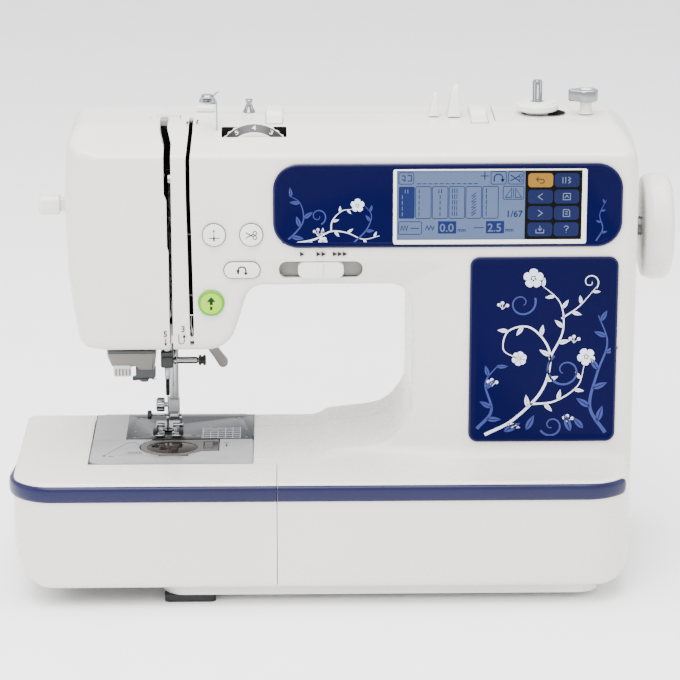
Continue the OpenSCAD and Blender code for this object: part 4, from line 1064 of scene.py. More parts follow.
    def _slots(self) -> list[Piece]:
        """Cutters for the thread slots and the top."""
        x, t = AT.needle_x, AT.top
        lever_slot = [
            (x - 1.5, t + 2), (x - 1.5, 288), (x + 1.6, 281.5), (x + 1.6, 254.5), (x + 3.1, 250.5),
            (x + 3.1, 221), (x + 3.9, 218), (x + 3.9, AT.head_low - 3), (x + 6.1, AT.head_low - 3),
            (x + 6.1, 283), (x + 3.3, 289), (x + 3.3, t + 2),
        ]
        run = [(17.9, 157.4), (17.6, 185), (17.1, 220), (16.5, 252), (16.5, 276), (17.8, 288), (17.8, t + 4)]
        thread_slot = [(x + a - 1.35, b) for a, b in run] + [(x + a + 1.35, b) for a, b in run[::-1]]
        out = [
            slab("o", lever_slot, XZ, -55, -4.5),
            slab("o", thread_slot, XZ, -55, 8),
            slab("o", pad(-75.5, -27, -35, -15.5, 0), XY, 262, 300),
            slab("o", pad(95.4, -6, 146, 54, 1.5), XY, 276, 300),
            slab("o", pad(-12, 40, 66, 52, 3), XY, 280.5, 300),
        ]
        for strap in HANDLE.straps:
            groove = [
                (-11, 281.6), (3, 281.6), (5, 284), (AT.crest - 6, 284), (100, 245.6), (100, 300),
                (-11, 300),
            ]
            out.append(slab("o", groove, YZ, strap - 5.6, strap + 5.6))
        return out


# ---- Front controls ----


@dataclass
class Controls:
    """Panels, keys, slider and dial on the front."""

    display: Box = (-43.7, 220.5, 172.1, 273.3)
    decor: Box = (78.4, 93.6, 170.7, 213.9)
    lcd: Box = (30.3, 222.5, 149.9, 270.2)
    needle: Point2 = (-80.2, 228.9)
    cutter: Point2 = (-57.2, 228.9)
    reverse: Point2 = (-63.1, 206.4)
    start: Point2 = (-82.4, 185.3)
    slider: Point2 = (-14.2, 205.6)
    dial: Point2 = (-55.2, 269.0)

    def oblong(self, at: Point2, width: float, height: float) -> list[Point2]:
        """Outline with round ends."""
        return pad(
            at[0] - width / 2, at[1] - height / 2, at[0] + width / 2, at[1] + height / 2, height / 2 - 0.01,
        )

    def build(self) -> None:
        """Builds all the controls."""
        self._panel("display_panel", self.display, 16.0, 1.0, "display_bezel")
        self._panel("column_panel", self.decor, 6.0, 0.8, "decor_panel")
        self._screen()
        self._keys()
        self._slider()
        self._dial()

    def _panel(self, name: str, box: Box, radius: float, proud: float, node: str) -> None:
        """Gloss panel with a raised, rounded rim."""
        face = AT.face
        outline = pad(*box, radius, 6.0)
        steps = [
            (0.02, 2.0), (0.02, 0.4 - proud), (0.5, -proud + 0.05), (1.2, -proud), (2.5, -proud),
            (3.2, -proud + 0.35), (3.7, -proud + 0.6),
        ]
        loops = [lift(inset(outline, d), XZ, face + y) for d, y in steps]
        made = paint(loft(name, loops), ACRYLIC_NAVY)
        # Painted highlight: the rim's outer slope takes the lighter rim copy of the acrylic
        paint(made, ACRYLIC_RIM_HIGHLIGHT)
        for side in made.data.polygons[: len(outline) * 3]:
            side.material_index = 1
        dress(made, ACRYLIC_NAVY, ROOT, 0, 50)
        if node == "display_bezel":
            cut(made, slab("w", pad(*self.lcd, 1.5), XZ, face - 5, face + 5))
            dress(made, ACRYLIC_NAVY, None, 0, 50)
        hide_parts(node)

    def _screen(self) -> None:
        """White frame, display field, its marks, and the touch keys."""
        face = AT.face
        x0, z0, x1, z1 = self.lcd
        rim = slab(
            "lcd_surround", pad(x0 + 0.05, z0 + 0.05, x1 - 0.05, z1 - 0.05, 1.5), XZ, face - 1.3,
            face + 2.4, 0.5, 0,
        )
        cut(rim, slab("w", pad(x0 + 2.2, z0 + 2.8, x1 - 3.1, z1 - 0.8, 0), XZ, face - 5, face + 5))
        dress(rim, ABS_SATIN, ROOT, 0.25, 40)
        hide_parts("lcd_frame")
        a0, c0, a1, c1 = x0 + 2.25, z0 + 2.85, x1 - 3.15, z1 - 0.85
        split = a0 + 79.1
        field_ = slab("lcd_field", pad(a0, c0, split, c1, 0), XZ, face - 0.6, face + 1)
        dress(field_, LCD_FIELD, ROOT)
        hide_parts("touch_panel")
        black = slab("touch_field", pad(split + 0.02, c0, a1, c1, 0), XZ, face - 0.6, face + 1)
        dress(black, KEY_BLACK, ROOT)
        draw = Drawing(face - 0.6)
        self._lcd_marks(draw, a0, c0, split, c1)
        draw.finish_as("lcd_marks", ROOT)
        keys = Drawing(face - 0.6)
        wide = (a1 - split - 2.6) / 2
        high = (c1 - c0 - 2.4) / 4
        for column in range(2):
            for row in range(4):
                kx = split + 1.3 + column * wide + 0.45
                kz = c0 + 1.2 + row * high + 0.8
                amber = column == 0 and row == 3
                keys.area(
                    pad(kx, kz, kx + wide - 0.9, kz + high - 1.6, 2.2), KEY_AMBER if amber else KEY_NAVY,
                    0.25,
                )
                self._key_icon(
                    keys, kx + wide / 2 - 0.45, kz + high / 2 - 0.8, column, row,
                    INK_DARK if amber else LCD_TINT,
                )
        keys.finish_as("touch_keys", ROOT)

    def _key_icon(self, draw: "Drawing", x: float, z: float, column: int, row: int, ink: Finish) -> None:
        """One small sign on a touch key."""
        s = 2.6
        shapes: dict[tuple[int, int], list[list[Point2]]] = {
            (0, 3): [
                [(-s, 0.6), (1.6, 0.6), (2.4, -0.6), (1.6, -1.8), (-0.6, -1.8)],
                [(-1.4, 2.0), (-s, 0.6), (-1.4, -0.8)],
            ],
            (0, 2): [[(1.4, 2), (-1.4, 0), (1.4, -2)]], (0, 1): [[(-1.4, 2), (1.4, 0), (-1.4, -2)]],
            (0, 0): [
                [(0, 2.4), (0, -0.6)], [(-1.2, 0.6), (0, -0.8), (1.2, 0.6)],
                [(-2.4, 0), (-2.4, -2.2), (2.4, -2.2), (2.4, 0)],
            ],
            (1, 3): [
                [(-2.6, 2), (-2.6, -2)], [(-0.9, 2), (-0.9, -2)],
                [(0.8, 2), (2.2, 1), (0.8, 0), (2.2, -1), (0.8, -2)],
            ],
            (1, 2): [
                [(-2.2, 2), (-2.2, -2), (2.2, -2), (2.2, 2), (-2.2, 2)],
                [(-1.2, -0.8), (0, 0.8), (1.2, -0.8)],
            ],
            (1, 1): [
                [(-2, 2.2), (1.2, 2.2), (2, 1.4), (2, -2.2), (-2, -2.2), (-2, 2.2)], [(-1, 0.8), (1, 0.8)],
                [(-1, -0.6), (1, -0.6)],
            ],
            (1, 0): [
                [(-1.4, 1.2), (-0.4, 2.2), (1.0, 2.0), (1.3, 1), (0, -0.2), (0, -1)],
                [(0, -1.9), (0, -2.3)],
            ],
        }
        for stroke in shapes[(column, row)]:
            draw.line([(x + a, z + b) for a, b in stroke], 0.42, ink, 0.45)

    def _lcd_marks(self, draw: "Drawing", x0: float, z0: float, x1: float, z1: float) -> None:
        """Stitch columns, number fields and small signs of the display."""
        ink = LCD_INK
        top, low = z1 - 10.2, z0 + 13.6

        def box(a: float, b: float, c: float, d: float) -> None:
            draw.loop(pad(a, b, c, d, 1.0, 30), 0.4, ink)

        for i in range(6):
            a = x0 + 1.2 + i * 10.35
            x = a + 4.8
            if i:
                box(a, low, a + 9.6, top)
            else:
                draw.area(pad(a, low, a + 9.8, top, 1.0, 30), ink, 0.05)
            pen = LCD_FIELD if i == 0 else ink
            for n in range(5):
                z = low + 1.6 + n * 3.6
                if i in (0, 2) and n == 4:
                    draw.line([(x - 0.8, z), (x - 0.8, z + 2.4)], 0.5, pen)
                    draw.line([(x + 0.8, z), (x + 0.8, z + 2.4)], 0.5, pen)
                elif i in (0, 1, 2, 5):
                    u = x - 2.6 if i in (0, 1, 5) else x
                    draw.line([(u, z), (u, z + (2.4 if i != 5 else 2.9))], 0.5, pen)
                elif i == 3:
                    for k in (-2.8, -1.4, 0.0):
                        draw.line([(x + k, z), (x + k, z + 2.9)], 0.45, pen)
                elif n < 4:
                    draw.line(
                        [(x + 1.6, z + 3.8), (x - 1.4, z + 1.8), (x + 1.2, z + 1.8), (x - 1.2, z)], 0.45,
                        pen,
                    )
        box(x1 - 13.6, top - 8.2, x1 - 0.8, top)
        for s in (-1, 1):
            cx = x1 - 7.2
            draw.line(
                [
                    (cx + s * 1.2, top - 7.0), (cx + s * 5.0, top - 7.0), (cx + s * 1.2, top - 1.2),
                    (cx + s * 1.2, top - 7.0),
                ],
                0.4, ink,
            )
        draw.line([(x1 - 7.2, top - 7.2), (x1 - 7.2, top - 1.2)], 0.35, ink)
        draw.number("1/67", x1 - 10.6, low + 0.6, 4.3, ink)
        box(x0 + 1.2, z0 + 3.6, x0 + 15.4, z0 + 11.6)
        wave = [(x0 + 2.4 + k * 0.9, z0 + 6.0 + (3.2 if k % 2 else 0.0)) for k in range(6)]
        draw.line(wave, 0.5, ink)
        draw.line([(x0 + 8.6, z0 + 7.4), (x0 + 14.0, z0 + 7.4)], 0.5, ink)
        for i, words in enumerate(("0.0", "2.5")):
            bx = x0 + 25.6 + i * 29.6
            if i:
                draw.line([(bx - 7.6, z0 + 7.6), (bx - 1.4, z0 + 7.6)], 0.5, ink)
            else:
                draw.line(
                    [(bx - 7.8 + k * 1.1, z0 + 6.4 + (2.6 if k % 2 else 0.0)) for k in range(6)], 0.5, ink,
                )
            draw.area(
                [(bx, z0 + 4.0), (bx + 11.2, z0 + 4.0), (bx + 11.2, z0 + 11.8), (bx, z0 + 11.8)], ink, 0.05,
            )
            draw.number(words, bx + 1.0, z0 + 5.0, 5.4, LCD_FIELD, 0.1)
            draw.number("mm", bx + 12.0, z0 + 5.0, 2.6, ink)
        for bx in (x1 - 21.2, x1 - 10.4):
            box(bx, top + 1.4, bx + 9.4, z1 - 0.9)
        draw.line(
            [
                (x1 - 19.2, top + 3.0), (x1 - 19.2, z1 - 4.2), (x1 - 17.8, z1 - 2.6), (x1 - 15.4, z1 - 2.6),
                (x1 - 14.0, z1 - 4.2), (x1 - 14.0, top + 3.2),
            ],
            0.7, ink,
        )
        draw.area([(x1 - 15.4, top + 4.6), (x1 - 12.6, top + 4.6), (x1 - 14.0, top + 2.4)], ink)
        draw.line([(x1 - 9.2, top + 3.4), (x1 - 3.6, z1 - 3.6)], 0.6, ink)
        draw.line([(x1 - 9.2, z1 - 3.0), (x1 - 3.6, top + 3.4)], 0.6, ink)
        for s in (top + 3.6, z1 - 3.6):
            draw.loop(ring(x1 - 2.9, s, 1.0, 14), 0.4, ink)
        draw.line([(x1 - 25.0, z1 - 1.0), (x1 - 25.0, top + 4.2)], 0.6, ink)
        draw.line([(x1 - 27.6, top + 6.6), (x1 - 22.6, top + 6.6)], 0.5, ink)
        box(x0 + 1.2, top + 1.6, x0 + 10.4, z1 - 1.4)
        draw.line(
            [(x0 + 3.0, z1 - 3.4), (x0 + 5.0, z1 - 3.4), (x0 + 5.0, top + 3.6), (x0 + 3.0, top + 4.6)], 0.6,
            ink,
        )
        draw.line(
            [(x0 + 6.6, top + 3.6), (x0 + 9.0, top + 3.6), (x0 + 9.0, z1 - 3.2), (x0 + 6.6, z1 - 3.2)], 0.6,
            ink,
        )
        for i in range(11):
            draw.line([(x0 + 12.4 + i * 3.5, top + 1.8), (x0 + 14.8 + i * 3.5, top + 1.8)], 0.45, ink)

    def _keys(self) -> None:
        """Round keys, the long reverse key and the green start key."""
        face = AT.face
        for name, at, node, body in (
            ("needle_cap", self.needle, "needle_key", "needle_button"),
            ("cutter_cap", self.cutter, "cutter_key", "cutter_button"),
        ):
            profile = [
                (8.5, -45.7), (8.5, -47.1), (7.0, -47.15), (7.0, face - 0.5), (6.6, face - 1.1),
                (5.6, face - 1.38), (4.5, face - 1.4), (0.0, face - 1.4),
            ]
            made = turned(name, profile, XZ, at)
            dress(made, ABS_SATIN, body)
            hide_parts(node)
            draw = Drawing(face - 1.4)
            x, z = at
            if node == "needle_key":
                draw.line([(x, z + 3.4), (x, z + 2.0)], 0.9, INK_DARK)
                draw.line([(x, z + 1.2), (x, z - 1.0)], 0.5, INK_DARK)
                draw.line([(x, z - 1.0), (x, z - 3.6)], 1.0, INK_DARK)
                draw.line([(x - 3.2, z - 1.7), (x + 3.2, z - 1.7)], 0.5, INK_DARK)
            else:
                draw.line([(x - 3.4, z + 1.8), (x + 1.2, z - 0.8)], 0.6, INK_DARK)
                draw.line([(x - 3.4, z - 1.8), (x + 1.2, z + 0.8)], 0.6, INK_DARK)
                for s in (-1, 1):
                    draw.loop(ring(x + 2.3, z + s * 1.4, 1.15, 20), 0.55, INK_DARK)
            draw.finish_as(name + "_sign", body)
        made = slab("reverse_cap", self.oblong(self.reverse, 22, 10), XZ, face - 1.4, -46.9, 0.7, 0)
        flange = slab("f", self.oblong(self.reverse, 25, 13), XZ, -47.15, -45.7)
        made = merge("reverse_cap", [made, flange])
        dress(made, ABS_SATIN, "reverse_button")
        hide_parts("reverse_key")
        x, z = self.reverse
        draw = Drawing(face - 1.4)
        arc = [(x - 2.4, z - 2.2), (x - 2.4, z + 0.4)]
        arc += [
            (x + 2.4 * math.cos(t), z + 0.4 + 2.0 * math.sin(t)) for t in np.linspace(math.pi, 0, 9)
        ] + [(x + 2.4, z - 1.4)]
        draw.line(arc, 0.9, INK_DARK)
        draw.area([(x + 0.9, z - 1.2), (x + 3.9, z - 1.2), (x + 2.4, z - 3.0)], INK_DARK)
        draw.finish_as("reverse_cap_sign", "reverse_button")
        profile = [
            (9.5, -45.7), (9.5, -47.1), (8.0, -47.15), (8.0, face - 0.4), (7.5, face - 1.1),
            (6.4, face - 1.4), (5.8, face - 1.15), (0.0, face - 1.0),
        ]
        made = turned("start_cap", profile, XZ, self.start, 72)
        dress(made, PC_LIME, "start_button")
        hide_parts("start_key")
        x, z = self.start
        draw = Drawing(face - 1.05)
        arrow = [
            (x, z + 4.2), (x + 2.8, z + 1.0), (x + 1.0, z + 1.0), (x + 1.0, z - 1.0), (x - 1.0, z - 1.0),
            (x - 1.0, z + 1.0), (x - 2.8, z + 1.0),
        ]
        draw.area(arrow, INK_GREEN, 0.08)
        draw.line([(x, z - 2.0), (x, z - 4.4)], 1.6, INK_GREEN)
        # Painted shade: a deeper green band over the key's sloped rim
        draw.loop(ring(x, z, 7.3, 56), 1.5, LIME_RIM_SHADE, 0.3)
        draw.finish_as("start_cap_sign", "start_button")

    def _slider(self) -> None:
        """Speed slider in its sunk slot, with three marks above it."""
        face = AT.face
        x, z = self.slider
        knob = slab(
            "slider_knob", pad(x - 14.2, z - 5.2, x + 14.2, z + 5.2, 4.4), XZ, face + 0.9, face + 10, 0.9,
            0,
        )
        ridge = slab("r", pad(x - 1.5, z - 5.0, x + 1.5, z + 5.0, 0.8), XZ, face - 0.9, face + 1.2, 0.8, 0)
        back = slab("b", pad(x - 39, z - 5.6, x + 39, z + 7.7, 1), XZ, face + 10, face + 11.5)
        made = merge(
            "slider_knob", [paint(knob, ABS_SATIN), paint(ridge, ABS_SATIN), paint(back, ACETAL_GREY)],
        )
        dress(made, ABS_SATIN, "slider")
        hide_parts("speed_slider")
        draw = Drawing(face)
        for count, middle in ((1, x - 11.7), (2, x), (3, x + 11.7)):
            for i in range(count):
                a = middle + (i - (count - 1) / 2) * 3.1
                draw.area([(a - 1.3, z + 9.2), (a + 1.7, z + 10.8), (a - 1.3, z + 12.4)], INK_DARK, 0.04)
        draw.finish_as("slider_marks", ROOT)

    def _dial(self) -> None:
        """Tension dial: ribbed white rims with a dark numbered band between them."""
        x, z = self.dial
        front, back, radius = -25.8, -17.1, 24.0
        stations = [
            (front, radius - 7, 0), (front, radius - 5.6, 0), (front + 0.4, radius - 4.9, 0),
            (front + 0.5, radius - 5.2, 0), (-20.7, radius - 1.2, 0), (-20.6, radius - 0.4, 1),
            (-20.2, radius, 1), (back - 1.8, radius, 1), (back - 0.4, radius - 0.5, 1),
            (back, radius - 1.4, 0), (back, radius - 6, 0),
        ]
        wheel = knurled("tension_wheel", stations, XZ, (x, z), 144, 0.6)
        shaft = turned("s", [(3, -17.5), (3, -5)], XZ, (x, z), 24)
        made = merge("tension_wheel", [wheel, shaft])
        dress(made, ABS_SATIN, "dial", 0, 30)
        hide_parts("tension_dial")
        stations = [
            (front + 0.55, radius - 5.4, 0), (front + 0.52, radius - 4.95, 0), (-20.72, radius - 0.75, 0),
            (-20.7, radius - 1.4, 0),
        ]
        band = knurled("tension_band", stations, XZ, (x, z), 144, 0)
        dress(band, NYLON_BLACK, "dial")
        marks = []
        for i in range(10):
            flat = glyphs(str(i), 4.0)
            middle = math.radians(90 + (i - 4) * 30)
            for v in flat.data.vertices:
                turn = middle - (v.co.x / MM) / 21.2
                up = v.co.z / MM
                r = 21.35 + 0.6 * up
                v.co = Vector((x + r * math.cos(turn), -23.1 + 0.82 * up, z + r * math.sin(turn))) * MM
            marks.append(flat)
        digits = merge("tension_digits", marks)
        dress(digits, INK_WHITE, "dial")


# ---- Flat marks ----


def glyphs(word: str, height: float) -> Piece:
    """Digits as a flat mesh in the XZ plane, centred, with the given height."""
    curve = bpy.data.curves.new("glyph", "FONT")
    curve.body = word
    curve.size = height * MM * 1.35
    curve.align_x, curve.align_y = "CENTER", "CENTER"
    curve.offset = height * MM * 0.02
    curve.resolution_u = 3
    helper = bpy.data.objects.new("glyph", curve)
    bpy.context.scene.collection.objects.link(helper)
    graph = bpy.context.evaluated_depsgraph_get()
    graph.update()
    mesh = bpy.data.meshes.new_from_object(helper.evaluated_get(graph))
    bpy.data.objects.remove(helper)
    mesh.transform(Matrix.Rotation(math.pi / 2, 4, "X"))
    mesh.materials.clear()
    made = bpy.data.objects.new("glyph", mesh)
    bpy.context.scene.collection.objects.link(made)
    return made


@dataclass
class Drawing:
    """Thin printed marks on one front plane."""

    depth: float
    height: float = 0.06
    origin: Point2 = (0.0, 0.0)
    parts: list[Piece] = field(default_factory=list)

    def area(self, outline: Sequence[Point2], finish: Finish, height: float | None = None) -> None:
        """Adds a filled outline."""
        rise = height or self.height
        made = paint(
            slab("mark", np.add(outline, self.origin), XZ, self.depth - rise, self.depth + 0.02), finish,
        )
        self.parts.append(made)

    def line(
        self, points: Sequence[Point2], width: float | Sequence[float], finish: Finish,
        height: float | None = None,
    ) -> None:
        """Adds a stroke of constant or changing width."""
        p = np.add(points, self.origin)
        before = np.diff(p, axis=0, prepend=p[:1] * 2 - p[1:2])
        after = np.diff(p, axis=0, append=p[-1:] * 2 - p[-2:-1])
        before /= np.maximum(np.linalg.norm(before, axis=1), 1e-9)[:, None]
        after /= np.maximum(np.linalg.norm(after, axis=1), 1e-9)[:, None]
        along = before + after
        along /= np.maximum(np.linalg.norm(along, axis=1), 1e-9)[:, None]
        normal = np.stack([-along[:, 1], along[:, 0]], 1)
        lean = np.maximum((normal * np.stack([-after[:, 1], after[:, 0]], 1)).sum(1), 0.45)
        half = (np.broadcast_to(np.array(width, float), (len(p),)) / 2 / lean)[:, None]
        rise = height or self.height
        left, right = p + normal * half, p - normal * half
        top, low = self.depth - rise, self.depth + 0.02
        loops = [
            np.array([(a[0], top, a[1]), (b[0], top, b[1]), (b[0], low, b[1]), (a[0], low, a[1])])
            for a, b in zip(left, right)
        ]
        made = paint(loft("mark", loops), finish)
        self.parts.append(made)

    def loop(self, points: list[Point2], width: float, finish: Finish, height: float | None = None) -> None:
        """Adds a closed stroke."""
        self.line(points + points[:1], width, finish, height)

    def number(
        self, word: str, x: float, z: float, height: float, finish: Finish, rise: float | None = None,
    ) -> None:
        """Adds digits whose lower left corner is at x and z."""
        made = glyphs(word, height)
        co = np.array([v.co for v in made.data.vertices])
        low = co.min(0)
        corner = Vector((x + self.origin[0], self.depth - (rise or self.height), z + self.origin[1])) * MM
        made.data.transform(Matrix.Translation(corner - Vector((low[0], 0.0, low[2]))))
        paint(made, finish)
        self.parts.append(made)

    def finish_as(self, name: str, body: str) -> Piece:
        """Merges the marks into one piece that rides on a body."""
        made = merge(name, self.parts)
        for face in made.data.polygons:
            face.use_smooth = False
        LOG.info("marks %s on %s", name, body)
        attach(made, body)
        return made


# ---- Blue stripe ----


@dataclass
class Stripe:
    """Glossy band around the front of the base, in two lengths."""

    low: float = 70.0
    high: float = 80.0
    proud: float = 1.5
    sunk: float = 1.4
    left_end: float = -36.0
    right_end: float = -79.0

    def path(self) -> Array:
        """Line along the base's front, from the left side to the right side."""
        p = AT
        corners = [
            (p.left, p.base_front, 27), (p.right - 13.5, p.base_front, 30), (p.right, 30, 80),
            (p.right, p.base_back), (p.left, p.base_back),
        ]
        line = np.array(rounded(corners, 2.5))
        line = line[line[:, 1] < 0]
        line = line[(line[:, 0] < 100) | (line[:, 1] < self.right_end)]
        return np.vstack([[(p.left, self.left_end)], line])

    def build(self) -> None:
        """Builds the table's length and the base's length."""
        line = self.path()
        seam = AT.seam_x
        left = np.vstack([line[line[:, 0] < seam - 10], [(seam - 0.45, AT.base_front)]])
        right = np.vstack([[(seam + 0.15, AT.base_front)], line[line[:, 0] > seam + 10]])
        self._length("table_band", left, True, "table", "table_stripe")
        self._length("base_band", right, False, ROOT, "base_stripe")

    def _length(self, name: str, line: Array, start_round: bool, body: str, node: str) -> None:
        """Sweeps the rounded section along one length."""
        fine = [line[0]]
        for a, b in zip(line[:-1], line[1:]):
            steps = max(1, int(np.linalg.norm(b - a) / 1.2)) if (a is line[0] or b is line[-1]) else 1
            fine += [a + (b - a) * (i + 1) / steps for i in range(steps)]
        path_ = np.array(fine)
        gone = np.concatenate([[0], np.cumsum(np.linalg.norm(np.diff(path_, axis=0), axis=1))])
        away = gone if start_round else gone[-1] - gone
        along = np.gradient(path_, gone, axis=0)
        along /= np.linalg.norm(along, axis=1)[:, None]
        out = np.stack([along[:, 1], -along[:, 0]], 1)
        middle, half = (self.low + self.high) / 2, (self.high - self.low) / 2
        section = [
            (-self.sunk, 1.0), (0.2, 1.0), (0.75, 0.93), (1.15, 0.78), (1.4, 0.45), (self.proud, 0.0),
            (1.4, -0.45), (1.15, -0.78), (0.75, -0.93), (0.2, -1.0), (-self.sunk, -1.0),
        ]
        loops = []
        for q, o, d in zip(path_, out, away):
            ease = max(math.sqrt(1 - max(0.0, 1 - d / 5.0) ** 2), 0.08)
            rows = []
            for s, h in section:
                reach = s if s < 0 else s * ease
                rows.append((q[0] + o[0] * reach, q[1] + o[1] * reach, middle + h * half * ease))
            loops.append(np.array(rows))
        made = loft(name, loops)
        dress(made, LACQUER_NAVY, body, 0, 50)
        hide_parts(node)


# ---- Handle and handwheel ----


@dataclass
class Handle:
    """Carrying handle folded down behind the machine."""

    straps: tuple[float, float] = (-42.6, 86.1)
    width: float = 10.5
    pivot_y: float = -4.0
    pivot_z: float = 287.5
    grip_low: float = 239.5

    def build(self) -> None:
        """Builds straps, pivots and grip as one piece."""
        z, y1 = self.pivot_z, 96.0
        side = rounded(
            [
                (self.pivot_y - 4.2, z - 3.6, 3), (self.pivot_y - 4.2, z + 3.8, 1.6), (9, z + 4.0, 2),
                (12.5, z + 6.0, 2), (31, z + 6.0, 18), (y1, z - 24, 14), (y1, self.grip_low, 3),
                (y1 - 8, self.grip_low, 2), (y1 - 8, z - 29, 8), (AT.crest - 4, z - 3.0, 10),
                (self.pivot_y + 6, z - 3.0, 2),
            ],
            7,
        )
        parts = []
        for x in self.straps:
            parts.append(slab("strap", side, YZ, x - self.width / 2, x + self.width / 2, 1.1, 1.1))
            parts.append(turned("pin", [(1.6, x - 7.2), (1.6, x + 7.2)], YZ, (self.pivot_y, z), 24))
        grip = rounded(
            [
                (79, self.grip_low, 5), (y1, self.grip_low, 5), (y1, self.grip_low + 24, 5),
                (79, self.grip_low + 24, 5),
            ],
            8,
        )
        loops = []
        x0, x1 = self.straps[0] - self.width / 2, self.straps[1] + self.width / 2
        for i in range(81):
            t = i / 80
            x = x0 + (x1 - x0) * t
            edge = min(i, 80 - i)
            dent = 0.9 * max(0.0, math.sin(math.pi * ((t - 0.2) / 0.15 % 1))) ** 2 if 0.2 < t < 0.8 else 0.0
            shrink = {0: 1.6, 1: 0.5}.get(edge, 0.0) + dent
            loops.append(lift(inset(grip, shrink), YZ, x))
        parts.append(loft("grip", loops))
        made = merge("handle_bow", parts)
        dress(made, ABS_SATIN, "handle", 0, 40)
        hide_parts("carry_handle")


@dataclass
class Wheel:
    """Handwheel on the right side."""

    radius: float = 34.0
    inner: float = 191.0
    outer: float = 209.5

    def build(self) -> None:
        """Turns the wheel with a rounded rim and a sunk hub."""
        r, a, b = self.radius, self.inner, self.outer
        profile = [
            (7.0, a), (r - 4, a), (r - 2.4, a + 0.6), (r - 1.4, a + 2.2), (r - 0.4, a + 5.0), (r, a + 7.6),
            (r, a + 11.4),
        ]
        profile += [
            (r - 6.5 + 6.5 * math.cos(t), b - 6.5 + 6.5 * math.sin(t))
            for t in np.linspace(0.15, math.pi / 2, 9)
        ]
        profile += [
            (r - 9, b), (r - 10.4, b - 0.5), (r - 11.4, b - 1.8), (r - 12.6, b - 2.7), (r - 15, b - 3.0),
            (9.5, b - 3.0), (8.8, b - 2.4), (8, b - 2.1), (0, b - 2.1),
        ]
        made = turned("handwheel_rim", profile, YZ, (AT.shaft_y, AT.shaft_z), 128)
        dress(made, ABS_WHITE, "drive", 0, 40)
        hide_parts("handwheel")


# ---- Top of the machine ----


